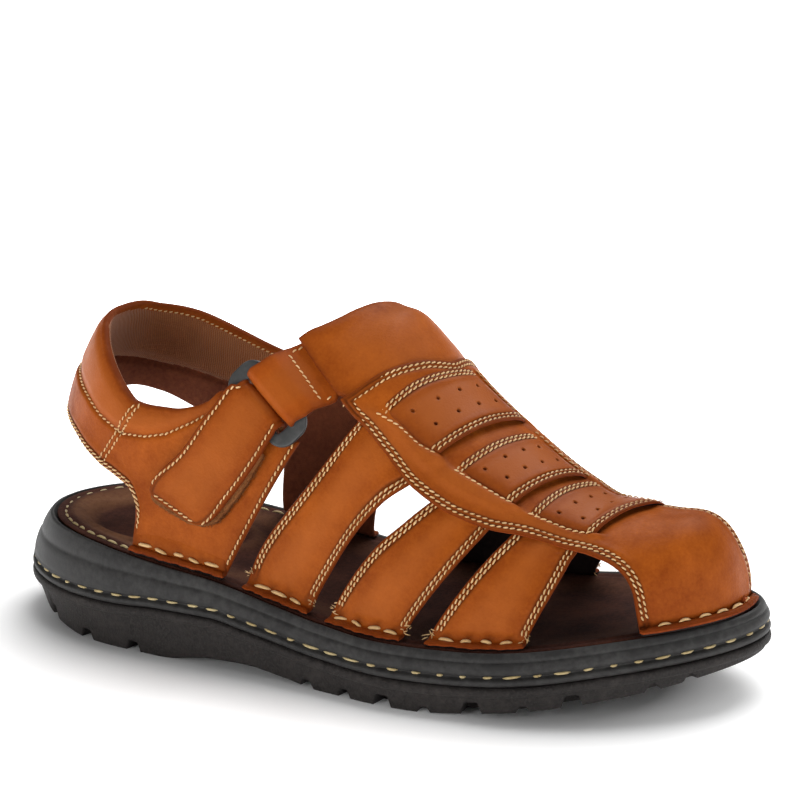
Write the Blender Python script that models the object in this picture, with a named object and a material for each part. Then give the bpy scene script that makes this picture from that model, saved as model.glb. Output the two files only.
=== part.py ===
"""Touch-fasten sandal for the right foot, standing empty on its sole.

The sole stack, the upper, the vamp panels and the fastening are all worked out from one
plan outline and one last. Sizes are in millimetres, +X to the toe, +Y to the medial side,
and MM turns them into metres when a mesh is made.
"""

import bmesh
import bpy
import numpy as np

for old in list(bpy.data.objects):
    bpy.data.objects.remove(old)

MM = 0.001
LENGTH = 292.0
PLAN_HEEL_RADIUS = 45.0
PLAN_TOE_RADIUS = 75.0
AXIS_HEEL = 42.0
AXIS_TOE = 226.0
GAP = 0.3
LEATHER = 1.8
FLANGE = 3.6
BORDER = 1.2

# Last: how far its base stands in from the outline of the sole, and how its ends are rounded
BASE_IN = 8.5
BASE_HEEL = 11.0
BASE_TOE = 8.0
LAST_HEEL_RADIUS = 38.0
LAST_TOE_RADIUS = 66.0
NOSE_RADIUS = 20.0
LEAN_REACH = 90.0

# Outline of the sole: x, centre, half width
PLAN = np.array([
    (0.0, 3.9, 37.1), (29.0, 0.8, 39.6), (64.0, -3.4, 42.9), (105.0, -4.8, 44.1), (146.0, -4.7, 47.4),
    (184.0, -3.6, 52.1), (216.0, 0.3, 51.8), (248.0, 4.8, 48.4), (274.5, 8.7, 43.7), (292.0, 12.3, 39.5),
])

# Side of the sole: x, ground line, height of the outsole, height of the rim, rim set in from the outline
SOLE = np.array([
    (0.0, 6.0, 16.8, 37.5, 9.5),
    (17.0, 3.0, 16.6, 38.1, 7.0),
    (35.0, 0.9, 16.3, 38.5, 5.0),
    (50.0, 0.0, 16.4, 37.7, 4.1),
    (66.0, 0.0, 17.0, 36.1, 3.5),
    (82.0, 0.0, 18.2, 34.5, 3.0),
    (105.0, 3.2, 18.5, 32.5, 2.6),
    (120.0, 3.6, 16.5, 29.9, 2.5),
    (135.0, 2.1, 14.3, 27.2, 2.5),
    (152.0, 0.0, 12.1, 24.5, 2.5),
    (176.0, 0.0, 10.9, 22.9, 2.5),
    (190.0, 0.0, 10.9, 22.9, 2.5),
    (206.0, 1.2, 11.2, 23.1, 2.5),
    (226.0, 3.6, 12.8, 24.7, 2.5),
    (257.0, 9.0, 17.4, 28.9, 2.6),
    (292.0, 16.9, 22.1, 32.9, 3.2),
])

# Crown of the last: x, height of the ridge, y of the ridge, power across, power upwards
CROWN = np.array([
    (-5.0, 186.5, 2.0, 2.0, 3.0),
    (40.0, 181.5, 2.0, 2.0, 3.0),
    (80.0, 161.5, 2.0, 2.0, 2.9),
    (115.0, 138.0, 3.0, 2.0, 2.6),
    (140.0, 127.0, 4.0, 2.0, 2.3),
    (158.0, 125.2, 5.0, 2.0, 2.2),
    (170.0, 115.7, 5.0, 2.0, 2.15),
    (180.0, 103.2, 4.0, 2.0, 2.1),
    (204.0, 83.5, 4.0, 2.0, 2.1),
    (223.0, 70.7, 4.0, 2.0, 2.2),
    (240.0, 63.6, 5.0, 2.0, 2.4),
    (260.0, 63.9, 6.0, 2.1, 2.6),
    (276.0, 64.9, 8.0, 2.2, 2.7),
    (290.0, 64.9, 10.0, 2.2, 2.7),
])

# Edges of the spine and toe cap: x, share of the girth on the lateral side, on the medial side
SPINE = np.array([
    (148.0, 0.50, 0.32), (158.0, 0.55, 0.30), (176.0, 0.58, 0.27), (192.0, 0.586, 0.25),
    (208.0, 0.558, 0.23), (222.0, 0.50, 0.22), (236.0, 0.485, 0.205), (247.0, 0.55, 0.18),
    (254.5, 0.66, 0.145), (258.5, 0.79, 0.13), (261.6, 1.00, 0.122), (266.0, 1.00, 0.125),
    (271.0, 1.00, 0.145), (274.0, 1.00, 0.168), (276.5, 1.00, 0.20), (278.5, 1.00, 0.235),
    (280.0, 1.00, 0.28), (281.2, 1.00, 0.38), (282.0, 1.00, 0.55), (282.6, 1.00, 0.78),
    (283.0, 1.00, 1.00), (300.0, 1.00, 1.00),
])
SPINE_TOP = 176.0
SPINE_TOP_DROP = {-1: 26.0, 1: 1.5}
SPINE_TOP_BEND = 1.5
SPINE_RAISE = 1.8

# Straps: name, side, base rear, base front, rear under the spine, front under the spine, bow
STRAPS = (
    ("strap_rear_lateral", -1, 117.7, 145.2, 157.2, 181.5, 2.0),
    ("strap_middle_lateral", -1, 153.2, 183.7, 189.6, 208.5, 2.6),
    ("strap_front_lateral", -1, 192.7, 226.9, 215.0, 236.6, 1.8),
    ("strap_rear_medial", 1, 150.0, 177.0, 176.0, 200.0, 2.0),
    ("strap_front_medial", 1, 186.0, 213.5, 208.0, 230.0, 2.0),
)
STRAP_TOP = 0.55
STRAP_UNDER = {-1: 0.43, 1: 0.16}
STRAP_TURN = 0.6

# Instep panel and medial quarter, from its lateral edge over the top to the medial base:
# share of the girth, rear edge x, front edge x, lift over the ring tab
INSTEP = np.array([
    (-0.44, 128.0, 162.0, 2.0),
    (-0.36, 131.0, 168.0, 2.0),
    (-0.29, 134.5, 173.0, 1.6),
    (-0.18, 139.5, 179.0, 0.6),
    (-0.03, 144.5, 183.0, 0.0),
    (0.10, 147.0, 183.0, 0.0),
    (0.30, 143.0, 174.0, 0.0),
    (0.50, 130.0, 160.0, 0.0),
    (0.70, 112.0, 147.0, 0.0),
    (0.85, 98.0, 137.0, 0.0),
    (1.00, 90.0, 128.0, 0.0),
    (1.36, 90.0, 128.0, 0.0),
])
INSTEP_SLANT = 0.117

# Quarter and heel strap, rib by rib from the lateral front round the heel to the medial side:
# side, low x, low height, top x, top height, padding inwards; a low height of 0 means at the sole
RIBS = np.array([
    (-1, 109.0, 0.0, 123.3, 78.5, 0.0),
    (-1, 103.0, 0.0, 117.5, 86.5, 0.0),
    (-1, 95.0, 0.0, 113.0, 93.5, 0.0),
    (-1, 86.0, 0.0, 109.4, 99.0, 0.2),
    (-1, 78.0, 0.0, 104.0, 98.5, 0.5),
    (-1, 72.0, 0.0, 99.0, 94.5, 0.8),
    (-1, 68.0, 0.0, 92.0, 92.0, 1.2),
    (-1, 70.0, 48.5, 83.0, 90.6, 1.6),
    (-1, 66.0, 58.3, 73.0, 90.6, 2.0),
    (-1, 60.0, 61.8, 65.0, 91.4, 2.4),
    (-1, 51.0, 65.3, 56.0, 96.0, 2.8),
    (-1, 42.0, 69.1, 47.0, 102.0, 3.0),
    (-1, 32.0, 73.5, 36.0, 108.4, 3.0),
    (-1, 21.0, 76.7, 23.0, 114.2, 3.0),
    (-1, 11.0, 79.0, 11.0, 116.6, 3.0),
    (1, 20.0, 80.0, 22.0, 113.6, 3.0),
    (1, 32.0, 77.0, 35.0, 111.2, 3.0),
    (1, 47.0, 71.5, 50.0, 108.2, 2.8),
    (1, 64.0, 66.5, 69.0, 103.6, 2.4),
    (1, 82.0, 61.5, 86.0, 99.2, 1.6),
    (1, 100.0, 57.5, 104.0, 94.8, 0.6),
])
# The front edge of the quarter flares forward towards its top
QUARTER_FLARE = 7.4
BAND_OUT = 0.6
BAND_IN = 1.2

# Vamp panels: name, rear edge and front edge (x on the ridge, slope and bend over the share of the girth),
# share of the girth at the lateral end behind and in front, and at the medial end
PANELS = (
    ("vamp_panel_rear", (179.4, 13.0, -33.0), (198.0, 17.0, -28.0), (-0.487, -0.425, 0.115)),
    ("vamp_panel_middle", (204.1, 17.5, -20.0), (223.0, 23.0, -5.0), (-0.425, -0.400, 0.085)),
    ("vamp_panel_front", (226.8, 20.0, 6.0), (251.0, 27.0, 0.0), (-0.392, -0.365, 0.110)),
)
PANEL_LOW = 0.8
PANEL_HIGH = 1.7

# Fastening strap from its fold to its end: way along, rear edge x and height, front edge x and height
TOUCH = np.array([
    (0.00, 114.0, 103.3, 130.8, 89.1),
    (0.14, 108.6, 100.0, 127.8, 84.7),
    (0.30, 102.9, 91.9, 123.3, 76.3),
    (0.60, 92.3, 77.5, 113.2, 62.7),
    (0.90, 79.7, 64.7, 103.2, 52.3),
    (1.00, 77.9, 59.7, 98.8, 50.9),
])
# Ring tab from its fold to its end under the instep panel: the same columns, and how far the leather
# stands off the last
TAB = np.array([
    (0.00, 114.2, 104.9, 132.8, 87.2, 4.1),
    (0.30, 119.1, 109.2, 138.0, 91.3, 4.0),
    (0.48, 121.5, 111.5, 140.3, 93.7, 2.8),
    (0.70, 126.5, 114.4, 145.2, 97.2, -1.7),
    (0.78, 128.2, 115.4, 146.7, 98.5, -2.3),
    (1.00, 131.8, 117.4, 147.6, 101.9, -2.5),
])
TOUCH_ROWS = (1.0, 0.96, 0.9, 0.75, 0.6, 0.45, 0.3, 0.2, 0.12)
TAB_ROWS = (1.0, 0.9, 0.78, 0.7, 0.63, 0.56, 0.48, 0.39, 0.3)
# Way along at which each strip stops being straight across, and by which it follows the wall
TOUCH_TURN = (0.2, 0.5)
TAB_TURN = (0.4, 0.8)
FOLD_INNER = 1.7
FOLD_MIDDLE = 2.4
RING_X = 123.0
RING_Z = 95.4
RING_LONG = 34.0
RING_SHORT = 16.4
RING_BAR = 3.6
RING_THICK = 2.0
RING_CORNER = 4.6
RING_ALONG = (0.74, -0.67)

# Lugs: x of each notch in the lower edge of the outsole, width, depth inwards, height
LATERAL_NOTCHES = (
    (24, 6, 9, 4), (47, 5, 8, 3.5), (70, 5, 8, 3.5), (146, 4, 6, 2.5), (162, 4, 8, 3), (178, 6, 9, 4),
    (194, 3.5, 6, 2), (211, 6, 9, 4), (229, 3.5, 6, 2), (244.5, 6, 9, 4), (268, 4, 6, 2.5), (278, 4, 6, 2.5),
)
MEDIAL_NOTCHES = (
    (24, 7, 9, 5), (44, 6, 8, 4), (66, 5, 8, 3.5), (126, 7, 9, 4), (148, 7, 9, 5), (169, 6, 9, 5),
    (190, 6, 9, 5), (211, 6, 9, 5), (232, 6, 9, 5), (253, 6, 9, 5),
)
CHANNELS = ((52, 4.0), (76, 4.0), (160, 4.0), (184, 4.0), (208, 4.0))
CHANNEL_DEPTH = 2.5
# The back of the outsole slopes in towards the ground: how far, and over what length of the heel
HEEL_BEVEL = 3.6
HEEL_BEVEL_REACH = 45.0

ROUND = 68


def curve(table, column, x):
    """Smooth curve through one column of a table, with slopes that never overshoot."""
    xs, ys, x = table[:, 0], table[:, column], np.asarray(x, float)
    step = np.diff(xs)
    rise = np.diff(ys) / step
    slope = np.zeros_like(ys)
    one, two = 2 * step[1:] + step[:-1], step[1:] + 2 * step[:-1]
    same = rise[:-1] * rise[1:] > 0
    safe = np.where(rise == 0, 1.0, rise)
    slope[1:-1] = np.where(same, (one + two) / (one / safe[:-1] + two / safe[1:]), 0)
    slope[0], slope[-1] = rise[0], rise[-1]
    i = np.clip(np.searchsorted(xs, x) - 1, 0, len(step) - 1)
    t = np.clip((x - xs[i]) / step[i], 0, 1)
    return ((1 + 2 * t) * (1 - t) ** 2 * ys[i] + t * (1 - t) ** 2 * step[i] * slope[i]
            + t * t * (3 - 2 * t) * ys[i + 1] + t * t * (t - 1) * step[i] * slope[i + 1])


def rounding(distance, radius, power):
    """Share of the full width at a distance from a rounded end."""
    k = np.clip(1 - distance / radius, 0, 1)
    return (1 - k ** power) ** (1 / power)


def outline(turn):
    """Outline of the sole in plan: turn 0 at the heel, pi at the toe, the lateral side first."""
    x = LENGTH * (1 - np.cos(turn)) / 2
    ends = rounding(x, PLAN_HEEL_RADIUS, 2.0) * rounding(LENGTH - x, PLAN_TOE_RADIUS, 2.15)
    half = curve(PLAN, 2, x) * ends
    return np.stack([x, curve(PLAN, 1, x) - np.sign(np.sin(turn)) * half], -1)


def inset(turn, distance):
    """The outline moved in by a distance along its normal."""
    way = outline(turn + 1e-3) - outline(turn - 1e-3)
    way = way / np.linalg.norm(way, axis=-1, keepdims=True)
    inward = np.stack([-way[..., 1], way[..., 0]], -1)
    return outline(turn) + inward * np.asarray(distance)[..., None]


def towards_middle(turn, points, share):
    """Points drawn in towards the long axis of the sole; share 1 leaves them, 0 puts them on it."""
    x = np.clip(LENGTH * (1 - np.cos(turn)) / 2, AXIS_HEEL, AXIS_TOE)
    axis = np.stack([x, curve(PLAN, 1, x)], -1)
    return axis + (points - axis) * share


def last_section(x):
    """Centre, half width, base height, crown, ridge and powers of the last at x."""
    tip = LENGTH - BASE_TOE - x
    half = curve(PLAN, 2, x) - BASE_IN
    half = half * rounding(x - BASE_HEEL, LAST_HEEL_RADIUS, 2.0) * rounding(tip, LAST_TOE_RADIUS, 2.35)
    base = curve(SOLE, 3, x) + GAP + LEATHER
    crown = np.maximum((curve(CROWN, 1, x) - base) * rounding(tip, NOSE_RADIUS, 2.4), 1e-6)
    return curve(PLAN, 1, x), half, base, crown, curve(CROWN, 2, x), curve(CROWN, 3, x), curve(CROWN, 4, x)


def lean(x, z):
    """How far forward the back of the heel leans at a height."""
    t = np.clip((z - 37.5) / 80.0, 0, 1.5)
    return (6.0 * t + 22.0 * t ** 2) * np.clip(1 - (x - BASE_HEEL) / LEAN_REACH, 0, 1) ** 1.2


def on_last(x, share):
    """Point of the last: share -1 at the lateral base, 0 on the ridge, 1 at the medial base.
    A share past 1 runs out over the rim as a flange, ten millimetres to the unit."""
    middle, half, base, crown, ridge, across, upwards = last_section(x)
    side, wall = np.sign(share), np.minimum(np.abs(share), 1)
    angle = (1 - wall) * np.pi / 2
    up = np.sin(angle) ** (2 / upwards)
    z = base + crown * up
    y = middle + (ridge - middle) * up ** 1.5 + side * half * np.cos(angle) ** (2 / across)
    out = np.maximum(np.abs(share) - 1, 0) * 10
    near_tip = np.clip(1 - (LENGTH - BASE_TOE - x) / LAST_TOE_RADIUS, 0, 1)
    swing = np.arcsin(np.clip(near_tip ** 1.35, 0, 1))
    return np.stack([x + lean(x, z) + out * np.sin(swing), y + side * out * np.cos(swing), z], -1)


def on_wall(x, z, side):
    """Point of the last at a height on one side."""
    middle, half, base, crown, ridge, across, upwards = last_section(x)
    k = np.clip((z - base) / crown, 0, 1)
    y = middle + (ridge - middle) * k ** 1.5 + side * half * (1 - k ** upwards) ** (1 / across)
    return np.stack([x + lean(x, z), y, z + 0 * x], -1)


def last_normal(x, share):
    """Unit normal of the last at a share of the girth, turning upwards along the flange."""
    x = np.minimum(x, LENGTH - BASE_TOE - 0.04)
    wall = np.clip(share, -0.998, 0.998)
    along = on_last(x + 0.01, wall) - on_last(x - 0.01, wall)
    over = on_last(x, wall + 1e-3) - on_last(x, wall - 1e-3)
    n = np.cross(along, over)
    n = n / np.linalg.norm(n, axis=-1, keepdims=True)
    turned = np.clip((np.abs(share) - 0.97) / 0.15, 0, 1)[..., None]
    n = n * (1 - turned) + np.array((0.0, 0.0, 1.0)) * turned
    return n / np.linalg.norm(n, axis=-1, keepdims=True)


def normals(grid):
    """Unit normals of a grid of points, turned away from the inside of the last."""
    n = np.cross(np.gradient(grid, axis=0), np.gradient(grid, axis=1))
    n = n / np.maximum(np.linalg.norm(n, axis=-1, keepdims=True), 1e-9)
    x, z = grid[..., 0], grid[..., 2]
    core = np.stack([np.clip(x, 45.0, 250.0), 0 * x, np.minimum(z, 60.0) - 12.0], -1)
    return n if ((grid - core) * n).sum() > 0 else -n


def object_of(name, points, faces, material, collection):
    """A closed mesh object from points in millimetres."""
    mesh = bpy.data.meshes.new(name)
    mesh.from_pydata([tuple(p) for p in np.asarray(points) * MM], [], faces)
    work = bmesh.new()
    work.from_mesh(mesh)
    bmesh.ops.remove_doubles(work, verts=work.verts, dist=0.00002)
    bmesh.ops.dissolve_degenerate(work, edges=work.edges, dist=0.00001)
    bmesh.ops.recalc_face_normals(work, faces=work.faces)
    work.to_mesh(mesh)
    work.free()
    mesh.materials.append(material)
    made = bpy.data.objects.new(name, mesh)
    collection.objects.link(made)
    made.parent = stand
    return made


def slab(name, outer, inner, material, collection):
    """The solid between two grids of points."""
    rows, columns = outer.shape[:2]
    index = np.arange(rows * columns).reshape(rows, columns)
    shift = rows * columns
    top = np.stack([index[:-1, :-1], index[:-1, 1:], index[1:, 1:], index[1:, :-1]], -1).reshape(-1, 4)
    border = np.concatenate([index[0, :], index[1:, -1], index[-1, -2::-1], index[-2:0:-1, 0]])
    after = np.roll(border, -1)
    rim = np.stack([border, border + shift, after + shift, after], -1)
    faces = np.concatenate([top[:, ::-1], top + shift, rim]).tolist()
    points = np.concatenate([outer.reshape(-1, 3), inner.reshape(-1, 3)])
    return object_of(name, points, faces, material, collection)


def rings(name, rows, material, collection):
    """The solid whose skin runs through closed rings, from the middle of its bottom to that of its top."""
    points = np.stack(rows)
    count, around = points.shape[:2]
    index = np.arange(count * around).reshape(count, around)
    nxt = np.roll(index, -1, axis=1)
    faces = np.stack([index[:-1], nxt[:-1], nxt[1:], index[1:]], -1).reshape(-1, 4).tolist()
    return object_of(name, points.reshape(-1, 3), faces, material, collection)


def sole_ring(turn, distance, height, share=1.0):
    """One ring of the sole: set in by a distance, drawn to the middle by a share, at a height over x."""
    flat = towards_middle(turn, inset(turn, distance + 0 * turn), share)
    return np.concatenate([flat, height(np.clip(flat[:, 0], 0, LENGTH))[:, None]], 1)


def material_of(name, colour, roughness, metallic=0.0):
    made = bpy.data.materials.new(name)
    made.use_nodes = True
    shader = made.node_tree.nodes["Principled BSDF"]
    shader.inputs["Base Color"].default_value = (*colour, 1.0)
    shader.inputs["Roughness"].default_value = roughness
    shader.inputs["Metallic"].default_value = metallic
    return made


def joined(target, others):
    for other in others:
        union = target.modifiers.new("join_" + other.name, "BOOLEAN")
        union.operation = "UNION"
        union.solver = "EXACT"
        union.object = other
        other.hide_render = True
        other.display_type = "WIRE"


def cut(target, cutter):
    less = target.modifiers.new("cut_" + cutter.name, "BOOLEAN")
    less.operation = "DIFFERENCE"
    less.solver = "EXACT"
    less.object = cutter
    cutter.hide_render = True
    cutter.display_type = "WIRE"


sandal = bpy.data.collections.new("touch_fasten_sandal")
helpers = bpy.data.collections.new("helpers")
bpy.context.scene.collection.children.link(sandal)
bpy.context.scene.collection.children.link(helpers)
helpers.hide_render = True
stand = bpy.data.objects.new("stand", None)
sandal.objects.link(stand)
edge = outline(np.linspace(0, 2 * np.pi, 721))
stand.location = (-LENGTH / 2 * MM, -(edge[:, 1].max() + edge[:, 1].min()) / 2 * MM, 0.0)

tan = material_of("tan_leather", (0.42, 0.13, 0.025), 0.45)
tan_panel = material_of("tan_panel_leather", (0.38, 0.12, 0.03), 0.45)
tan_strap = material_of("tan_strap_leather", (0.42, 0.13, 0.025), 0.45)
tan_tab = material_of("tan_tab_leather", (0.42, 0.13, 0.025), 0.45)
rubber_dark = material_of("midsole_rubber", (0.035, 0.037, 0.038), 0.5)
rubber_brown = material_of("outsole_rubber", (0.045, 0.036, 0.031), 0.7)
suede = material_of("footbed_suede", (0.075, 0.03, 0.018), 0.9)
fabric = material_of("touch_fabric", (0.16, 0.08, 0.03), 0.95)
plastic = material_of("ring_plastic", (0.16, 0.19, 0.21), 0.35)

# Sole
turn = np.arange(ROUND) * 2 * np.pi / ROUND


def ground(x):
    return curve(SOLE, 1, x)


def seat(x):
    return curve(SOLE, 2, x)


def rim(x):
    return curve(SOLE, 3, x)


def at(height, add=0.0):
    return lambda x: height(x) + add


rim_in = curve(SOLE, 4, outline(turn)[:, 0])
heel_in = HEEL_BEVEL * np.clip(1 - outline(turn)[:, 0] / HEEL_BEVEL_REACH, 0, 1)
outsole_rows = [
    sole_ring(turn, 2.6 + heel_in, ground, 0.0),
    sole_ring(turn, 2.6 + heel_in, ground, 0.55),
    sole_ring(turn, 2.6 + heel_in, ground),
    sole_ring(turn, 2.0 + 0.9 * heel_in, at(ground, 1.4)),
    sole_ring(turn, 1.5, at(seat, -3.4)),
    sole_ring(turn, 0.0, at(seat, -2.6)),
    sole_ring(turn, 0.0, at(seat, -1.0)),
    sole_ring(turn, 1.6, seat),
    sole_ring(turn, 1.6, seat, 0.55),
    sole_ring(turn, 1.6, seat, 0.0),
]
outsole = rings("outsole", outsole_rows, rubber_brown, sandal)


def between(low, high):
    """Height part of the way from the seat of the midsole to the rim."""
    return lambda x: seat(x) + GAP + low + high * (rim(x) - seat(x) - GAP - low)


shelf_in = rim_in + 1.6
midsole_rows = [
    sole_ring(turn, 1.9, at(seat, GAP), 0.0),
    sole_ring(turn, 1.9, at(seat, GAP), 0.55),
    sole_ring(turn, 1.9, at(seat, GAP)),
    sole_ring(turn, 0.4, at(seat, GAP + 0.7)),
    sole_ring(turn, 0.2, at(seat, GAP + 2.2)),
    sole_ring(turn, 1.5, at(seat, GAP + 3.0)),
    sole_ring(turn, 1.5, at(seat, GAP + 3.9)),
    sole_ring(turn, 0.35 + 0.10 * rim_in, at(seat, GAP + 4.8)),
    sole_ring(turn, 0.3 + 0.32 * rim_in, between(4.8, 0.45)),
    sole_ring(turn, 0.72 * rim_in, between(4.8, 0.82)),
    sole_ring(turn, rim_in, rim),
    sole_ring(turn, shelf_in, at(rim, -BORDER - GAP)),
    sole_ring(turn, shelf_in + 9.0, at(rim, -BORDER - GAP - 4.0)),
    sole_ring(turn, shelf_in + 9.0, at(rim, -8.5), 0.5),
    sole_ring(turn, shelf_in + 9.0, at(rim, -8.5), 0.0),
]
midsole = rings("midsole", midsole_rows, rubber_dark, sandal)


def dish(depth):
    """Top of the footbed, deepest under the heel."""
    return lambda x: rim(x) - depth * (0.35 + 0.65 * np.clip(1 - (x / 95.0) ** 2, 0, 1))


footbed_rows = [
    sole_ring(turn, shelf_in + 9.3, at(rim, -8.5 + GAP), 0.0),
    sole_ring(turn, shelf_in + 9.3, at(rim, -8.5 + GAP), 0.5),
    sole_ring(turn, shelf_in + 9.3, at(rim, -BORDER - 4.0)),
    sole_ring(turn, shelf_in + 0.9, at(rim, -BORDER)),
    sole_ring(turn, shelf_in + 0.5, at(rim, -0.5)),
    sole_ring(turn, shelf_in + 1.0, rim),
    sole_ring(turn, shelf_in + 7.5, at(rim, -0.3)),
    sole_ring(turn, shelf_in + 9.0, dish(4.6), 0.72),
    sole_ring(turn, shelf_in + 9.0, dish(5.2), 0.36),
    sole_ring(turn, shelf_in + 9.0, dish(5.4), 0.0),
]
footbed = rings("footbed", footbed_rows, suede, sandal)

# Lugs and channels of the outsole


def box(name, centre, size, angle):
    """A cutter box turned about the vertical."""
    mesh = bpy.data.meshes.new(name)
    work = bmesh.new()
    bmesh.ops.create_cube(work, size=1.0)
    bmesh.ops.scale(work, vec=[s * MM for s in size], verts=work.verts)
    work.to_mesh(mesh)
    work.free()
    made = bpy.data.objects.new(name, mesh)
    made.location = [c * MM for c in centre]
    made.rotation_euler = (0.0, 0.0, angle)
    made.parent = stand
    helpers.objects.link(made)
    return made


for side, notches in ((-1, LATERAL_NOTCHES), (1, MEDIAL_NOTCHES)):
    for x, width, deep, high in notches:
        here = np.arccos(1 - 2 * x / LENGTH)
        here = here if side < 0 else 2 * np.pi - here
        spot = inset(np.array(here), np.array(0.0))
        way = outline(here + 1e-3) - outline(here - 1e-3)
        low = float(ground(np.array(float(x))))
        name = "notch_%s_%03d" % ("lateral" if side < 0 else "medial", x)
        centre = (spot[0], spot[1], low - 10.0 + high / 2)
        cut(outsole, box(name, centre, (width, 2 * deep, 20.0 + high), np.arctan2(way[1], way[0])))
for x, width in CHANNELS:
    low = float(ground(np.array(float(x))))
    cut(outsole, box("channel_%03d" % x, (x, 0.0, low + CHANNEL_DEPTH - 10.0), (width, 66.0, 20.0), 0.0))

# Upper


def flange_rows(limit, wall_rows):
    """Shares of the girth from the edge of the flange up a wall to a limit."""
    return np.concatenate([[1 + FLANGE / 10, 1.16], 1 - (1 - limit) * np.linspace(0, 1, wall_rows)])


def wall_slab(name, grid, outside, inside):
    """A piece of the wall of the upper, between two distances from the last."""
    n = normals(grid)
    outer, inner = grid + n * np.asarray(outside)[..., None], grid + n * np.asarray(inside)[..., None]
    return slab(name, outer, inner, tan, helpers)


def spine_grid(rows, columns):
    """Spine and toe cap: rows from the instep edge to the tip of the toe, columns from the lateral edge
    to the medial edge."""
    across = np.linspace(-1, 1, columns)
    far = np.abs(across)
    across = np.sign(across) * np.where(far <= 0.8, far / 0.8, 1 + (far - 0.8) / 0.2)
    along = 1 - (1 - np.linspace(0, 1, rows)) ** 1.8
    r, s = np.meshgrid(along, across, indexing="ij")
    wall = np.clip(np.abs(s), 0, 1)
    start = SPINE_TOP - np.where(s < 0, SPINE_TOP_DROP[-1], SPINE_TOP_DROP[1]) * wall ** SPINE_TOP_BEND
    x = start + (LENGTH - BASE_TOE - 0.02 - start) * r
    reach = np.where(s < 0, curve(SPINE, 1, x), curve(SPINE, 2, x))
    past = np.clip(np.abs(s) - 1, 0, 1) * np.clip((reach - 0.97) / 0.03, 0, 1) * FLANGE / 10
    return x, np.sign(s) * (wall * reach + past), r


x, share, along = spine_grid(24, 21)
grid = on_last(x, share)
n = last_normal(x, share)
n[-1, np.abs(share[-1]) <= 1] = (1.0, 0.0, 0.0)
toe = np.clip((x - 240.0) / 14.0, 0, 1)
corner = np.clip(1 - (x - 150.0) / 18.0, 0, 1) * np.clip((-share - 0.3) / 0.2, 0, 1)
outside = SPINE_RAISE - 0.8 * toe + 2.2 * corner
inside = -0.9 - 0.7 * toe + 1.5 * corner
upper = slab("upper", grid + n * outside[..., None], grid + n * inside[..., None], tan, sandal)

pieces = []
for name, side, rear, front, rear_top, front_top, bow in STRAPS:
    v = flange_rows(STRAP_UNDER[side], 8 if side < 0 else 11)[:, None]
    c = np.linspace(0, 1, 5)[None, :]
    way = np.clip((1 - v) / (1 - STRAP_TOP), 0, 2)
    q = np.minimum(way, 1) + STRAP_TURN * np.maximum(way - 1, 0)
    rear_x, front_x = rear + (rear_top - rear) * q, front + (front_top - front) * q
    x = rear_x * (1 - c) + front_x * c + 4 * bow * np.minimum(way, 1) * (1 - np.minimum(way, 1))
    grid = on_last(x, side * v + 0 * x)
    pieces.append(wall_slab(name, grid, 0.0 * x, -LEATHER + 0 * x))

# Instep panel with the medial quarter
r = np.concatenate([np.linspace(0, 1, 24) * (1.0 + 0.44) - 0.44, [1.16, 1.36]])[:, None]
c = np.linspace(0, 1, 7)[None, :]
x = curve(INSTEP, 1, r) * (1 - c) + curve(INSTEP, 2, r) * c
slant = INSTEP_SLANT * (np.clip((x - 128.0) / 20.0, 0, 1) - 0.5) * np.clip((-r - 0.03) / 0.41, 0, 1)
grid = on_last(x, r - slant)
lift = curve(INSTEP, 3, r) * np.clip(1 - (x - 148.0) / 12.0, 0.3, 1)
pieces.append(wall_slab("instep_panel", grid, lift, lift - LEATHER))

# Quarter and heel strap
count = np.linspace(0, len(RIBS) - 1, 55)
number = np.arange(len(RIBS), dtype=float)
signed = np.where(RIBS[:, 0] > 0, 1.0, -1.0)
low_run, top_run = signed * (RIBS[:, 1] - BASE_HEEL), signed * (RIBS[:, 3] - BASE_HEEL)
table = np.column_stack([number, low_run, RIBS[:, 2], top_run, RIBS[:, 4], RIBS[:, 5]])
foot = (table[:, 2] == 0)
table[foot, 2] = last_section(RIBS[foot, 1])[2] + 0.02
h = np.linspace(0, 1, 6)[None, :]
low = curve(table, 1, count)[:, None]
top = curve(table, 3, count)[:, None]
run = low * (1 - h) + top * h - QUARTER_FLARE * h ** 5 * np.clip(1 - count / 3, 0, 1)[:, None]
height = curve(table, 2, count)[:, None] * (1 - h) + curve(table, 4, count)[:, None] * h
back = BASE_HEEL + np.abs(run)
grid = np.where(run[..., None] > 0, on_wall(back, height, 1), on_wall(back, height, -1))
pad = curve(table, 5, count)[:, None] * np.sin(np.clip(h, 0.05, 0.95) * np.pi) ** 0.5
pieces.append(wall_slab("heel_band", grid, BAND_OUT + 0.5 * pad, -BAND_IN - pad))

v = flange_rows(0.93, 4)[:, None]
x = np.linspace(67.6, 109.4, 9)[None, :] + 0 * v
grid = on_last(x, -v + 0 * x)
pieces.append(wall_slab("quarter_foot", grid, 0.25 + 0 * x, -0.8 + 0 * x))
joined(upper, pieces)

# Vamp panels on the spine
for name, rear, front, ends in PANELS:
    s = np.linspace(-1, 1, 11)[None, :]
    t = np.linspace(0, 1, 5)[:, None]
    lateral = ends[0] * (1 - t) + ends[1] * t
    share = lateral + (ends[2] - lateral) * (s + 1) / 2
    rear_x = rear[0] + rear[1] * share + rear[2] * share ** 2
    front_x = front[0] + front[1] * share + front[2] * share ** 2
    x = rear_x * (1 - t) + front_x * t
    grid = on_last(x, share)
    n = normals(grid)
    swell = PANEL_LOW + (PANEL_HIGH - PANEL_LOW) * t ** 0.7 * (1 - s ** 6)
    floor = SPINE_RAISE - 0.8 * np.clip((x - 240.0) / 14.0, 0, 1) + GAP + 0.15
    slab(name, grid + n * (floor + swell)[..., None], grid + n * floor[..., None], tan_panel, sandal)

# Fastening: folded strap, its touch pad, the tab and the ring


def unit(v):
    return v / np.linalg.norm(v, axis=-1, keepdims=True)


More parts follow.
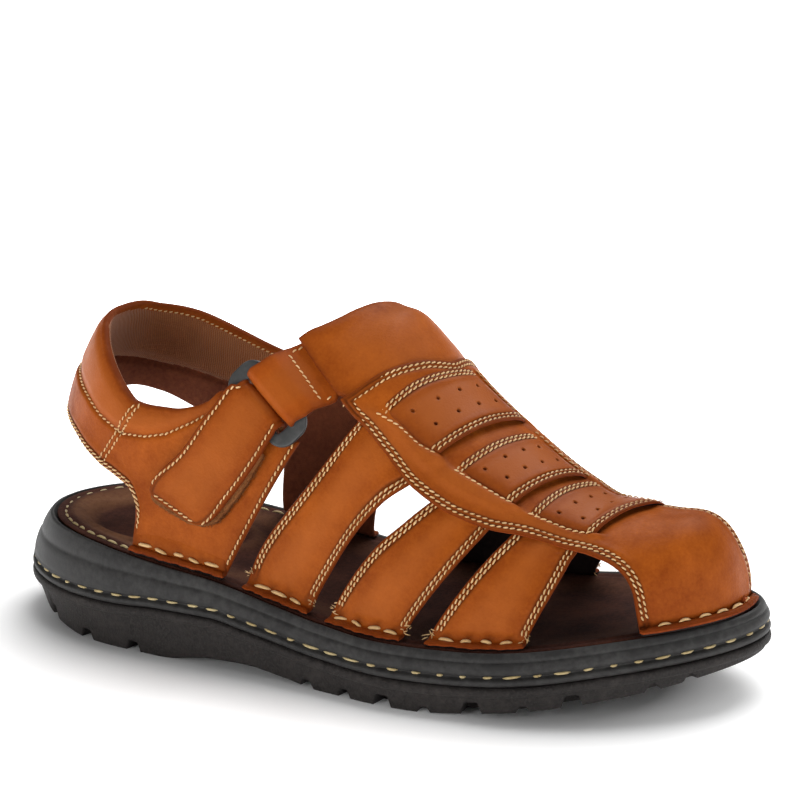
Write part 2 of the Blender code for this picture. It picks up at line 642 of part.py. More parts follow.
patch_x = RING_X + np.array([[-6.0, 6.0], [-6.0, 6.0]])
patch_z = RING_Z + np.array([[-6.0, -6.0], [6.0, 6.0]])
ring_n = unit(normals(on_wall(patch_x, patch_z, -1)).mean(axis=(0, 1)))
long_way = np.array([RING_ALONG[0], 0.0, RING_ALONG[1]])
long_way = unit(long_way - ring_n * (long_way @ ring_n))
short_way = np.cross(long_way, ring_n)
short_way = short_way * np.sign(short_way[2])
FOLD_OUTER = FOLD_INNER + LEATHER + 0.1


def strip(table, way, share, straight_to, follows_by):
    """Points and normals of a strip on the lateral wall, straight across at the ring, then along the wall."""
    rear_x, rear_z, front_x, front_z = (curve(table, column, way) for column in (1, 2, 3, 4))
    wall = on_wall(rear_x * (1 - share) + front_x * share, rear_z * (1 - share) + front_z * share, -1)
    middle = on_wall((rear_x + front_x) / 2, (rear_z + front_z) / 2, -1)
    width = np.hypot(front_x - rear_x, front_z - rear_z)
    straight = middle + ((share - 0.5) * width)[..., None] * long_way
    t = np.clip((way - straight_to) / (follows_by - straight_to), 0, 1)
    follow = (t * t * (3 - 2 * t) + 0 * share)[..., None]
    grid = wall * follow + straight * (1 - follow)
    return grid, unit(normals(grid) * follow + ring_n * (1 - follow))


def folded(name, table, bounds, ahead, outer_layer, legs, under, material):
    """A strip of leather folded round a bar of the ring: its outer leg, the fold, and a leg below."""
    way = np.array(legs + (0.0,))[:, None]
    grid, n = strip(table, way, np.linspace(0, 1, 5)[None, :], *bounds)
    leg = (outer_layer(way) + 0 * grid[..., 0])[:-1, :, None]
    hub = grid[-1] - ahead * FOLD_OUTER + ring_n * FOLD_MIDDLE
    sides = []
    for radius, over in ((FOLD_OUTER, LEATHER + 0.1), (FOLD_INNER, 0.0)):
        angle = np.linspace(0, np.pi, 8)[:, None, None]
        bend = hub + radius * (np.cos(angle) * ring_n + np.sin(angle) * ahead)
        tail = (hub - ahead * under - ring_n * radius)[None]
        sides.append(np.concatenate([grid[:-1] + n[:-1] * (leg + over), bend, tail]))
    return slab(name, sides[0], sides[1], material, sandal)


def level(way):
    return FOLD_MIDDLE + FOLD_INNER + 0 * way


def sinking(way):
    return curve(TAB, 5, way)


folded("touch_strap", TOUCH, TOUCH_TURN, short_way, level, TOUCH_ROWS, 0.4, tan_strap)
folded("ring_tab", TAB, TAB_TURN, -short_way, sinking, TAB_ROWS, 6.0, tan_tab)

way = np.linspace(0.26, 0.985, 7)[:, None]
grid, n = strip(TOUCH, way, np.linspace(0.02, 0.98, 5)[None, :], *TOUCH_TURN)
pad_top, pad_foot = FOLD_MIDDLE + FOLD_INNER - GAP, BAND_OUT + 0.9 + GAP
slab("touch_pad", grid + n * pad_top, grid + n * pad_foot, fabric, sandal)

centre = on_wall(np.array(RING_X), np.array(RING_Z), -1) + ring_n * FOLD_MIDDLE
corner_angle = np.linspace(0, np.pi / 2, 5)
half_long, half_short = RING_LONG / 2 - RING_BAR / 2, RING_SHORT / 2 - RING_BAR / 2
path = []
for k, (sx, sy) in enumerate(((1, 1), (-1, 1), (-1, -1), (1, -1))):
    angle = corner_angle + k * np.pi / 2
    corner_x, corner_y = sx * (half_long - RING_CORNER), sy * (half_short - RING_CORNER)
    arc = RING_CORNER * np.stack([np.cos(angle), np.sin(angle)], -1)
    path.append(np.array((corner_x, corner_y)) + arc)
path = np.concatenate(path)
tangent = unit(np.roll(path, -1, axis=0) - np.roll(path, 1, axis=0))
outward = np.stack([tangent[:, 1], -tangent[:, 0]], -1)
around = np.arange(8) * np.pi / 4 + np.pi / 8
bar = np.stack([np.cos(around) * RING_BAR / 2, np.sin(around) * RING_THICK / 2], -1) * 1.08
flat = path[:, None, :] + outward[:, None, :] * bar[None, :, :1]
points = centre + flat[..., :1] * long_way + flat[..., 1:] * short_way + bar[None, :, 1:] * ring_n
index = np.arange(points.shape[0] * 8).reshape(-1, 8)
down, side = np.roll(index, -1, axis=0), np.roll(index, -1, axis=1)
faces = np.stack([index, side, np.roll(down, -1, axis=1), down], -1).reshape(-1, 4).tolist()
object_of("slide_ring", points.reshape(-1, 3), faces, plastic, sandal)
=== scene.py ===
"""Looks of the touch-fasten sandal: leather, linings, stitches, sole, fastening, ground, light and camera.

The leather is worked out on the same last as the solids. Sizes are in millimetres, +X to the toe and
+Y to the medial side, and put() moves them into the row frame in metres.
"""

import bmesh
import bpy
import numpy as np
from mathutils import Matrix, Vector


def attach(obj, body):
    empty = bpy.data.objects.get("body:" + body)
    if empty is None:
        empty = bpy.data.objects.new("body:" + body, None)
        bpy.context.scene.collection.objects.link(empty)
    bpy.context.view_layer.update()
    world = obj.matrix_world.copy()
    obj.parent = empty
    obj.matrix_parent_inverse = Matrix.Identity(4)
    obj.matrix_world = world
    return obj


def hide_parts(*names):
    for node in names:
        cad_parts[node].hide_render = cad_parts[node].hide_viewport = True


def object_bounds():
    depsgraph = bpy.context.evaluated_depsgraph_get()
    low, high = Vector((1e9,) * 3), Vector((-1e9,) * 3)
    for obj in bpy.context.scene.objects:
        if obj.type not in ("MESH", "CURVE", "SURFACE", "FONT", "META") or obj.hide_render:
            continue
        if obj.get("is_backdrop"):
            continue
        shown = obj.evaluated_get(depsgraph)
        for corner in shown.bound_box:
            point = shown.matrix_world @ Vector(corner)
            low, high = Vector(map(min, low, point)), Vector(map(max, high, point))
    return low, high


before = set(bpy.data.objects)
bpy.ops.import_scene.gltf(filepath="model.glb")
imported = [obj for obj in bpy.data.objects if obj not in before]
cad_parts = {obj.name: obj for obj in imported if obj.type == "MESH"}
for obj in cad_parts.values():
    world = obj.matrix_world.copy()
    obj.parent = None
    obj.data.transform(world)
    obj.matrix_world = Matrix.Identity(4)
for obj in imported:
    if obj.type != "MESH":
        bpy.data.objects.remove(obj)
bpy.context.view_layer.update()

MM = 0.001
UPWARDS = np.array((0.0, 0.0, 1.0))
LENGTH = 292.0
PLAN_HEEL_RADIUS = 45.0
PLAN_TOE_RADIUS = 75.0
AXIS_HEEL = 42.0
AXIS_TOE = 226.0
GAP = 0.3
LEATHER = 1.8
FLANGE = 3.6
BORDER = 1.2

# Last: how far its base stands in from the outline of the sole, and how its ends are rounded
BASE_IN = 8.5
BASE_HEEL = 11.0
BASE_TOE = 8.0
LAST_HEEL_RADIUS = 38.0
LAST_TOE_RADIUS = 66.0
NOSE_RADIUS = 20.0
LEAN_REACH = 90.0
LEAN_FROM = 37.5
LEAN_HEIGHT = 80.0
LEAN_LINE = 6.0
LEAN_SQUARE = 22.0
# A core inside the last, which normals turn away from: rear and front x, greatest height, and how far below
CORE_X = (45.0, 250.0)
CORE_TOP = 60.0
CORE_BELOW = 12.0

# Outline of the sole: x, centre, half width
PLAN = np.array([
    (0.0, 3.9, 37.1), (29.0, 0.8, 39.6), (64.0, -3.4, 42.9), (105.0, -4.8, 44.1), (146.0, -4.7, 47.4),
    (184.0, -3.6, 52.1), (216.0, 0.3, 51.8), (248.0, 4.8, 48.4), (274.5, 8.7, 43.7), (292.0, 12.3, 39.5),
])

# Side of the sole: x, ground line, height of the outsole, height of the rim, rim set in from the outline
SOLE = np.array([
    (0.0, 6.0, 16.8, 37.5, 9.5), (17.0, 3.0, 16.6, 38.1, 7.0), (35.0, 0.9, 16.3, 38.5, 5.0),
    (50.0, 0.0, 16.4, 37.7, 4.1), (66.0, 0.0, 17.0, 36.1, 3.5), (82.0, 0.0, 18.2, 34.5, 3.0),
    (105.0, 3.2, 18.5, 32.5, 2.6),
    (120.0, 3.6, 16.5, 29.9, 2.5), (135.0, 2.1, 14.3, 27.2, 2.5), (152.0, 0.0, 12.1, 24.5, 2.5),
    (176.0, 0.0, 10.9, 22.9, 2.5), (190.0, 0.0, 10.9, 22.9, 2.5), (206.0, 1.2, 11.2, 23.1, 2.5),
    (226.0, 3.6, 12.8, 24.7, 2.5), (257.0, 9.0, 17.4, 28.9, 2.6), (292.0, 16.9, 22.1, 32.9, 3.2),
])

# Crown of the last: x, height of the ridge, y of the ridge, power across, power upwards
CROWN = np.array([
    (-5.0, 186.5, 2.0, 2.0, 3.0), (40.0, 181.5, 2.0, 2.0, 3.0), (80.0, 161.5, 2.0, 2.0, 2.9),
    (115.0, 138.0, 3.0, 2.0, 2.6), (140.0, 127.0, 4.0, 2.0, 2.3), (158.0, 125.2, 5.0, 2.0, 2.2),
    (170.0, 115.7, 5.0, 2.0, 2.15), (180.0, 103.2, 4.0, 2.0, 2.1), (204.0, 83.5, 4.0, 2.0, 2.1),
    (223.0, 70.7, 4.0, 2.0, 2.2), (240.0, 63.6, 5.0, 2.0, 2.4), (260.0, 63.9, 6.0, 2.1, 2.6),
    (276.0, 64.9, 8.0, 2.2, 2.7), (290.0, 64.9, 10.0, 2.2, 2.7),
])

# Edges of the spine and toe cap: x, share of the girth on the lateral side, on the medial side
SPINE = np.array([
    (148.0, 0.50, 0.32), (158.0, 0.55, 0.30), (176.0, 0.58, 0.27), (192.0, 0.586, 0.25),
    (208.0, 0.558, 0.23), (222.0, 0.50, 0.22), (236.0, 0.485, 0.205), (247.0, 0.55, 0.18),
    (254.5, 0.66, 0.145), (258.5, 0.79, 0.13), (261.6, 1.00, 0.122), (266.0, 1.00, 0.125),
    (271.0, 1.00, 0.145), (274.0, 1.00, 0.168), (276.5, 1.00, 0.20), (278.5, 1.00, 0.235),
    (280.0, 1.00, 0.28), (281.2, 1.00, 0.38), (282.0, 1.00, 0.55), (282.6, 1.00, 0.78),
    (283.0, 1.00, 1.00), (300.0, 1.00, 1.00),
])
SPINE_TOP = 176.0
SPINE_TOP_DROP = {-1: 26.0, 1: 1.5}
SPINE_TOP_BEND = 1.5
SPINE_RAISE = 1.8
# In the toe cap the leather lies closer to the last: from this x, over this reach, by this drop
TOE_FROM = 240.0
TOE_REACH = 14.0
TOE_DROP = 0.8
# Columns of points on each flange of the spine, and those that are led over the tip of the toe
FLANGE_COLUMNS = 8
TIP_COLUMNS = 76
# Girth of the spine in millimetres to the unit of share, near the panels
GIRTH_MM = 82.0

# Straps: name, side, base rear, base front, rear under the spine, front under the spine, bow
STRAPS = (
    ("strap_rear_lateral", -1, 117.7, 145.2, 157.2, 181.5, 2.0),
    ("strap_middle_lateral", -1, 153.2, 183.7, 189.6, 208.5, 2.6),
    ("strap_front_lateral", -1, 192.7, 226.9, 215.0, 236.6, 1.8),
    ("strap_rear_medial", 1, 150.0, 177.0, 176.0, 200.0, 2.0),
    ("strap_front_medial", 1, 186.0, 213.5, 208.0, 230.0, 2.0),
)
STRAP_TOP = 0.55
STRAP_UNDER = {-1: 0.43, 1: 0.16}
STRAP_TURN = 0.6
STRAP_ROWS = {-1: 84, 1: 110}

# Instep panel and medial quarter: share of the girth, rear edge x, front edge x, lift over the ring tab
INSTEP = np.array([
    (-0.44, 128.0, 162.0, 2.0), (-0.36, 131.0, 168.0, 2.0), (-0.29, 134.5, 173.0, 1.6),
    (-0.18, 139.5, 179.0, 0.6), (-0.03, 144.5, 183.0, 0.0), (0.10, 147.0, 183.0, 0.0),
    (0.30, 143.0, 174.0, 0.0), (0.50, 130.0, 160.0, 0.0), (0.70, 112.0, 147.0, 0.0),
    (0.85, 98.0, 137.0, 0.0), (1.00, 90.0, 128.0, 0.0), (1.36, 90.0, 128.0, 0.0),
])
INSTEP_SLANT = 0.117

# Quarter and heel strap, rib by rib from the lateral front round the heel to the medial side:
# side, low x, low height, top x, top height, padding inwards; a low height of 0 means at the sole
RIBS = np.array([
    (-1, 109.0, 0.0, 126.3, 84.0, 0.0), (-1, 103.0, 0.0, 117.5, 86.5, 0.0), (-1, 95.0, 0.0, 113.0, 93.5, 0.0),
    (-1, 86.0, 0.0, 109.4, 99.0, 0.2), (-1, 78.0, 0.0, 104.0, 98.5, 0.5), (-1, 72.0, 0.0, 99.0, 94.5, 0.8),
    (-1, 68.0, 0.0, 92.0, 92.0, 1.2), (-1, 70.0, 48.5, 83.0, 90.6, 1.6), (-1, 66.0, 58.3, 73.0, 90.6, 2.0),
    (-1, 60.0, 61.8, 65.0, 91.4, 2.4), (-1, 51.0, 65.3, 56.0, 96.0, 2.8), (-1, 42.0, 69.1, 47.0, 102.0, 3.0),
    (-1, 32.0, 73.5, 36.0, 108.4, 3.0), (-1, 21.0, 76.7, 23.0, 114.2, 3.0),
    (-1, 11.0, 79.0, 11.0, 116.6, 3.0),
    (1, 20.0, 80.0, 22.0, 113.6, 3.0), (1, 32.0, 77.0, 35.0, 111.2, 3.0), (1, 47.0, 71.5, 50.0, 108.2, 2.8),
    (1, 64.0, 66.5, 69.0, 103.6, 2.4), (1, 82.0, 61.5, 86.0, 99.2, 1.6), (1, 100.0, 57.5, 104.0, 94.8, 0.6),
])
# The front edge of the quarter leans forward towards its top
QUARTER_FLARE = 9.8
BAND_OUT = 0.6
BAND_IN = 1.2
BINDING = 3.2
# Collar seam of the heel strap, and the fold of its lining: way round the heel (lateral below 0), height
COLLAR_SEAM = np.array([
    (-92.0, 92.0), (-81.0, 86.1), (-70.3, 81.2), (-60.6, 79.3), (-50.5, 79.1), (-47.2, 80.0), (-37.6, 83.3),
    (-25.9, 88.6), (-9.9, 93.9), (0.0, 95.5), (10.0, 94.5), (26.0, 91.0), (50.0, 85.0), (95.0, 77.0),
])
LINING_FOLD = np.array([(-90.0, 84.0), (0.0, 95.0), (4.0, 93.4), (18.0, 89.0), (49.0, 83.7), (95.0, 76.0)])
# Upright seam of the heel strap: x and height from its top to its foot, its rows of stitches, its slope
HEEL_JOIN = np.array([(67.0, 91.2), (60.3, 80.6), (50.6, 66.6)])
JOIN_ASIDE = 1.05
JOIN_SLOPE = 0.85
# Foot of the lateral quarter: rear and front x
QUARTER_FOOT = (67.8, 109.2)

# Vamp panels: name, rear edge and front edge (x on the ridge, slope and bend over the share of the girth),
# share of the girth at the lateral end behind and in front, and at the medial end
PANELS = (
    ("vamp_panel_rear", (179.4, 13.0, -33.0), (198.0, 17.0, -28.0), (-0.487, -0.425, 0.115)),
    ("vamp_panel_middle", (204.1, 17.5, -20.0), (223.0, 23.0, -5.0), (-0.425, -0.400, 0.085)),
    ("vamp_panel_front", (226.8, 20.0, 6.0), (251.0, 27.0, 0.0), (-0.392, -0.365, 0.110)),
)
PANEL_REAR_ROWS = (1.3, 2.9)
PANEL_FRONT_ROWS = (1.7, 3.3)
# Pinholes of a panel: place from its rear to its front edge, places from its lateral to its medial end
HOLES = ((0.27, (-0.72, -0.26, 0.18, 0.60)), (0.60, (-0.62, -0.18, 0.24, 0.66)))
HOLE_RADIUS = 0.62

# Fastening strap and ring tab: way along, rear edge x and height, front edge x and height; the tab's last
# column is how far it stands off the wall
TOUCH = np.array([
    (0.00, 114.0, 103.3, 130.8, 89.1), (0.14, 108.6, 100.0, 127.8, 84.7), (0.30, 102.9, 91.9, 123.3, 76.3),
    (0.60, 92.3, 77.5, 113.2, 62.7), (0.90, 79.7, 64.7, 103.2, 52.3), (1.00, 77.9, 59.7, 98.8, 50.9),
])
TAB = np.array([
    (0.00, 114.2, 104.9, 132.8, 87.2, 4.1), (0.30, 119.1, 109.2, 138.0, 91.3, 4.0),
    (0.48, 121.5, 111.5, 140.3, 93.7, 2.8), (0.70, 126.5, 114.4, 145.2, 97.2, -1.7),
    (0.78, 128.2, 115.4, 146.7, 98.5, -2.3), (1.00, 131.8, 117.4, 147.6, 101.9, -2.5),
])
TOUCH_TURN = (0.2, 0.5)
TAB_TURN = (0.4, 0.8)
TOUCH_ROUND = 0.06
TOUCH_SEAM = 1.9
TAB_SEAM = 2.4
TAB_CROSS = 29
PAD_OUT = 2.7
FOLD_INNER = 1.7
FOLD_MIDDLE = 2.4
FOLD_OUTER = FOLD_INNER + LEATHER + 0.1
RING_X = 123.0
RING_Z = 95.4
RING_LONG = 34.0
RING_SHORT = 16.4
RING_BAR = 3.6
RING_THICK = 2.0
RING_CORNER = 4.6
RING_ALONG = (0.74, -0.67)
# The ends of the ring are wider inwards than its bars by this share of half a bar
RING_END = 1.2

# Lugs: x of each notch in the lower edge of the outsole, width, depth inwards, height
LATERAL_NOTCHES = (
    (24, 6, 9, 4), (47, 5, 8, 3.5), (70, 5, 8, 3.5), (146, 4, 6, 2.5), (162, 4, 8, 3), (178, 6, 9, 4),
    (194, 3.5, 6, 2), (211, 6, 9, 4), (229, 3.5, 6, 2), (244.5, 6, 9, 4), (268, 4, 6, 2.5), (278, 4, 6, 2.5),
)
MEDIAL_NOTCHES = (
    (24, 7, 9, 5), (44, 6, 8, 4), (66, 5, 8, 3.5), (126, 7, 9, 4), (148, 7, 9, 5), (169, 6, 9, 5),
    (190, 6, 9, 5), (211, 6, 9, 5), (232, 6, 9, 5), (253, 6, 9, 5),
)
NOTCHES = [(-1, *notch) for notch in LATERAL_NOTCHES] + [(1, *notch) for notch in MEDIAL_NOTCHES]
NOTCH_DRAFT = 0.7
CHANNELS = ((52, 4.0), (76, 4.0), (160, 4.0), (184, 4.0), (208, 4.0))
CHANNEL_DEPTH = 2.5
HEEL_BEVEL = 3.6
HEEL_BEVEL_REACH = 45.0
TREAD_HALF = 33.5

# Outsole: set in of the steps from its flat bottom to its side; share of the height and set in of its side;
# set in and height of its lip from its top
OUTSOLE_STEPS = (11.0, 9.2, 8.8, 7.0, 5.8, 4.2, 3.2)
OUTSOLE_SIDE = ((0.00, 2.6), (0.05, 2.25), (0.12, 2.0), (0.3, 1.9), (0.5, 1.8), (0.75, 1.65), (0.97, 1.5))
OUTSOLE_LIP = ((1.35, -3.45), (0.6, -3.3), (0.12, -2.9), (0.0, -2.3), (0.0, -1.6), (0.15, -0.9), (0.5, -0.4),
               (1.1, -0.1), (1.6, 0.0))
LIP_THICK = 3.5

# Midsole: set in and height of its stitched groove; share of the height, share of the rim's set in and bulge
# of its side; share of the set in and height of its rim; set in past the rim and height of its tray
MIDSOLE_FOOT_IN = 1.9
MIDSOLE_GROOVE = (
    (1.3, 0.06), (0.75, 0.3), (0.4, 0.7), (0.22, 1.2), (0.18, 1.8), (0.3, 2.3), (0.7, 2.7), (1.35, 2.95),
    (1.6, 3.2), (1.68, 3.45), (1.6, 3.75), (1.3, 4.0), (0.75, 4.3),
)
MIDSOLE_SIDE = (
    (0.0, 0.10, 0.42), (0.06, 0.11, 0.2), (0.14, 0.14, 0.08), (0.25, 0.20, 0.05), (0.36, 0.27, 0.05),
    (0.46, 0.34, 0.14), (0.52, 0.39, 0.42), (0.56, 0.43, 0.58), (0.60, 0.47, 0.40), (0.66, 0.53, 0.14),
    (0.74, 0.62, 0.03), (0.82, 0.71, 0.0), (0.89, 0.80, 0.0), (0.95, 0.895, 0.0),
)
MIDSOLE_RIM = ((0.945, -0.25), (1.0, -0.02), (1.10, 0.04))
MIDSOLE_TRAY = ((0.9, -0.25), (1.4, -0.9), (1.6, -BORDER - GAP), (3.0, -BORDER - GAP - 0.8),
                (10.6, -BORDER - GAP - 4.0))
BAND_LOW = 4.8
TRAY_IN = 1.6
TRAY_FLAT_IN = 9.0
TRAY_DEEP = 8.5
SIDE_GROOVE_IN = 1.35
SIDE_GROOVE_UP = 3.45

# Footbed: set in past the tray's edge and height of its border, with a stitched groove; how far its top falls
# over the share from the middle; how rubbed its rings are; its heel pad as x, y, half length and half width
BED_FOOT_IN = 9.3
BED_GROOVE_IN = 3.8
BED_GROOVE_DEEP = 0.42
BED_BORDER = (
    (0.9, -BORDER), (0.55, -0.9), (0.5, -0.5), (0.65, -0.15), (1.0, 0.0), (1.7, 0.08), (2.6, 0.0),
    (3.3, -0.25), (BED_GROOVE_IN, -BED_GROOVE_DEEP), (4.3, -0.25), (5.2, 0.05), (6.4, 0.05), (7.5, -0.3),
)
BED_FALL = ((0, 0.36, 0.72, 0.97, 1.0), (5.4, 5.2, 4.6, 1.6, 0.9))
BED_RUBBED = (0.25, 0.6, 0.9, 1.0, 1.0, 0.95, 0.85, 0.7, 0.55, 0.4, 0.25, 0.1)
HEEL_PAD = (58.0, -1.0, 37.0, 21.0)

# Seams: how far two rows of stitches stand in from an edge, and the stitches themselves
SEAM_FIRST = 1.6
SEAM_SECOND = 3.15
DOUBLE_ROW = (SEAM_FIRST, SEAM_SECOND)
STITCH_PITCH = 2.3
STITCH_LONG = 2.15
STITCH_WIDE = 0.62
BIG_PITCH = 7.4
BIG_LONG = 5.9
BIG_WIDE = 1.3
BIG_IN = 3.4
BIG_UNEVEN = 0.15
SOLE_PITCH = 8.6
SOLE_LONG = 5.4
# How far the leather is darkened in from a cut edge
EDGE_DARKENING_REACH = 3.6

# Camera: angles, distance in metres, focal length and size of the picture in pixels, and the place of the
# sandal's middle in the row frame and in the picture; the painted shadow on the floor, where the floor does
# not glow, from its rear to its front
CAMERA_AZIMUTH = np.radians(29.44)
CAMERA_HEIGHT = np.radians(17.8)
CAMERA_ROLL = np.radians(0.995)
CAMERA_DISTANCE = 1.043
FOCAL_PIXELS = 2893.7
PICTURE = 800.0
SENSOR = 36.0
SANDAL_MIDDLE = np.array((0.0, 0.00158, 0.0365))
MIDDLE_PIXEL = (374.2, 549.2)
FLOOR_PAINTED_SHADOW = (-0.085, 0.068)


def curve(table, column, x):
    """Smooth curve through one column of a table, with slopes that never overshoot."""
    xs, ys, x = table[:, 0], table[:, column], np.asarray(x, float)
    step = np.diff(xs)
    rise = np.diff(ys) / step
    slope = np.zeros_like(ys)
    one, two = 2 * step[1:] + step[:-1], step[1:] + 2 * step[:-1]
    same = rise[:-1] * rise[1:] > 0
    safe = np.where(rise == 0, 1.0, rise)
    slope[1:-1] = np.where(same, (one + two) / (one / safe[:-1] + two / safe[1:]), 0)
    slope[0], slope[-1] = rise[0], rise[-1]
    i = np.clip(np.searchsorted(xs, x) - 1, 0, len(step) - 1)
    t = held((x - xs[i]) / step[i])
    return ((1 + 2 * t) * (1 - t) ** 2 * ys[i] + t * (1 - t) ** 2 * step[i] * slope[i]
            + t * t * (3 - 2 * t) * ys[i + 1] + t * t * (t - 1) * step[i] * slope[i + 1])


def rounding(distance, radius, power):
    """Share of the full width at a distance from a rounded end: a superellipse of that radius and power."""
    k = held(1 - distance / radius)
    return (1 - k ** power) ** (1 / power)


def outline(turn):
    """Outline of the sole in plan: turn 0 at the heel, pi at the toe, the lateral side first. The half width
    from the table is multiplied by the rounding of both ends."""
    x = LENGTH * (1 - np.cos(turn)) / 2
    ends = rounding(x, PLAN_HEEL_RADIUS, 2.0) * rounding(LENGTH - x, PLAN_TOE_RADIUS, 2.15)
    half = curve(PLAN, 2, x) * ends
    return np.stack([x, curve(PLAN, 1, x) - np.sign(np.sin(turn)) * half], -1)


def inset(turn, distance):
    """The outline moved in by a distance along its normal."""
    way = outline(turn + 1e-3) - outline(turn - 1e-3)
    way = way / np.linalg.norm(way, axis=-1, keepdims=True)
    inward = np.stack([-way[..., 1], way[..., 0]], -1)
    return outline(turn) + inward * np.asarray(distance)[..., None]


def towards_middle(turn, points, share):
    """Points drawn in towards the long axis of the sole; share 1 leaves them, 0 puts them on it."""
    x = np.clip(LENGTH * (1 - np.cos(turn)) / 2, AXIS_HEEL, AXIS_TOE)
    axis = np.stack([x, curve(PLAN, 1, x)], -1)
    return axis + (points - axis) * share


def last_section(x):
    """Centre, half width, base height, crown, ridge and powers of the last at x, from the tables and the
    rounding of its ends."""
    tip = LENGTH - BASE_TOE - x
    half = curve(PLAN, 2, x) - BASE_IN
    half = half * rounding(x - BASE_HEEL, LAST_HEEL_RADIUS, 2.0) * rounding(tip, LAST_TOE_RADIUS, 2.35)
    base = curve(SOLE, 3, x) + GAP + LEATHER
    crown = np.maximum((curve(CROWN, 1, x) - base) * rounding(tip, NOSE_RADIUS, 2.4), 1e-6)
    return curve(PLAN, 1, x), half, base, crown, curve(CROWN, 2, x), curve(CROWN, 3, x), curve(CROWN, 4, x)


def lean(x, z):
    """How far forward the back of the heel leans at a height: a line and a square of the height, which fade
    forwards."""
    t = np.clip((z - LEAN_FROM) / LEAN_HEIGHT, 0, 1.5)
    return (LEAN_LINE * t + LEAN_SQUARE * t ** 2) * held(1 - (x - BASE_HEEL) / LEAN_REACH) ** 1.2


def on_last(x, share):
    """Point of the last: share -1 at the lateral base, 0 on the ridge, 1 at the medial base.
    The section is a superellipse. A share past 1 runs out over the rim as a flange, ten millimetres to the
    unit."""
    middle, half, base, crown, ridge, across, upwards = last_section(x)
    side, wall = np.sign(share), np.minimum(np.abs(share), 1)
    angle = (1 - wall) * np.pi / 2
    up = np.sin(angle) ** (2 / upwards)
    z = base + crown * up
    y = middle + (ridge - middle) * up ** 1.5 + side * half * np.cos(angle) ** (2 / across)
    out = np.maximum(np.abs(share) - 1, 0) * 10
    near_tip = held(1 - (LENGTH - BASE_TOE - x) / LAST_TOE_RADIUS)
    swing = np.arcsin(held(near_tip ** 1.35))
    return np.stack([x + lean(x, z) + out * np.sin(swing), y + side * out * np.cos(swing), z], -1)


def on_wall(x, z, side):
    """Point of the last at a height on one side, on the same superellipse."""
    middle, half, base, crown, ridge, across, upwards = last_section(x)
    k = held((z - base) / crown)
    y = middle + (ridge - middle) * k ** 1.5 + side * half * (1 - k ** upwards) ** (1 / across)
    return np.stack([x + lean(x, z), y, z + 0 * x], -1)


def last_normal(x, share):
    """Unit normal of the last at a share of the girth, turning upwards along the flange."""
    x = np.minimum(x, LENGTH - BASE_TOE - 0.04)
    wall = np.clip(share, -0.998, 0.998)
    along = on_last(x + 0.01, wall) - on_last(x - 0.01, wall)
    over = on_last(x, wall + 1e-3) - on_last(x, wall - 1e-3)
    n = unit(np.cross(along, over))
    flat = held((np.abs(share) - 0.97) / 0.15)[..., None]
    return unit(n * (1 - flat) + UPWARDS * flat)


def unit(v):
    """Vectors brought to length one."""
    return v / np.maximum(np.linalg.norm(v, axis=-1, keepdims=True), 1e-9)


def normals(grid):
    """Unit normals of a grid of points, turned away from the inside of the last."""
    n = unit(np.cross(np.gradient(grid, axis=0), np.gradient(grid, axis=1)))
    x, z = grid[..., 0], grid[..., 2]
    core = np.stack([np.clip(x, *CORE_X), 0 * x, np.minimum(z, CORE_TOP) - CORE_BELOW], -1)
    return n if ((grid - core) * n).sum() > 0 else -n


def ground(x):
    """Height of the ground line of the outsole."""
    return curve(SOLE, 1, x)


def seat(x):
    """Height of the top of the outsole."""
    return curve(SOLE, 2, x)


def rim(x):
    """Height of the rim of the midsole."""
    return curve(SOLE, 3, x)


# Shapes shared by the pieces


def held(value):
    """A value kept between 0 and 1."""
    return np.clip(value, 0, 1)


def turns(count):
    """Even steps once round."""
    return np.arange(count) * 2 * np.pi / count


def least(first, *others):
    """The smallest of several fields at each point."""
    for other in others:
        first = np.minimum(first, other)
    return first


def lifted(points, n, height):
    """Points moved along their normals by a height."""
    return points + n * np.asarray(height)[..., None]


def foot_shares(scallop):
    """Shares of the girth from the edge of a strap's foot up to the base, the edge drawn in by a scallop."""
    return 1 + FLANGE / 10 * np.linspace(1, 0, 10)[:-1, None] * scallop


def ramp(value, low, high):
    """Smooth step from 0 at low to 1 at high."""
    t = held((value - low) / (high - low))
    return t * t * (3 - 2 * t)


def bell(value, middle, wide):
    """Bell curve of height one about a middle."""
    return np.exp(-((value - middle) / wide) ** 2)


def crowded(count, share=0.8):
    """Numbers from 0 to 1 that crowd towards both ends: t less a share of a sine."""
    t = np.linspace(0, 1, count)
    return t - share * np.sin(2 * np.pi * t) / (2 * np.pi)


def lumps(points, size, seed):
    """Slow unevenness between about -1 and 1: five sine waves of a size in chosen directions."""
    chance = np.random.default_rng(seed)
    ways = unit(chance.normal(size=(5, 3))) * (2 * np.pi / size) * chance.uniform(0.6, 1.5, (5, 1))
    return np.sin(points @ ways.T + chance.uniform(0, 6.28, 5)).sum(-1) / 2.6


def run_of(points, axis=0):
    """Distance walked along an axis of a grid from its first point."""
    step = np.linalg.norm(np.diff(points, axis=axis), axis=-1)
    start = np.zeros_like(np.take(step, [0], axis=axis))
    return np.concatenate([start, np.cumsum(step, axis=axis)], axis=axis)


def edge_runs(grid):
    """Distances walked in from the first and last rows and the first and last columns of a grid."""
    return (run_of(grid, 0), run_of(grid[::-1], 0)[::-1],
            run_of(grid, 1), run_of(grid[:, ::-1], 1)[:, ::-1])


def eased(grid, low, high, passes):
    """Rows from low to high drawn together a little at each pass, so that a fold becomes a soft turn."""
    grid = grid.copy()
    for step in range(passes):
        grid[low:high] = (grid[low - 1:high - 1] + 2 * grid[low:high] + grid[low + 1:high + 1]) / 4
    return grid


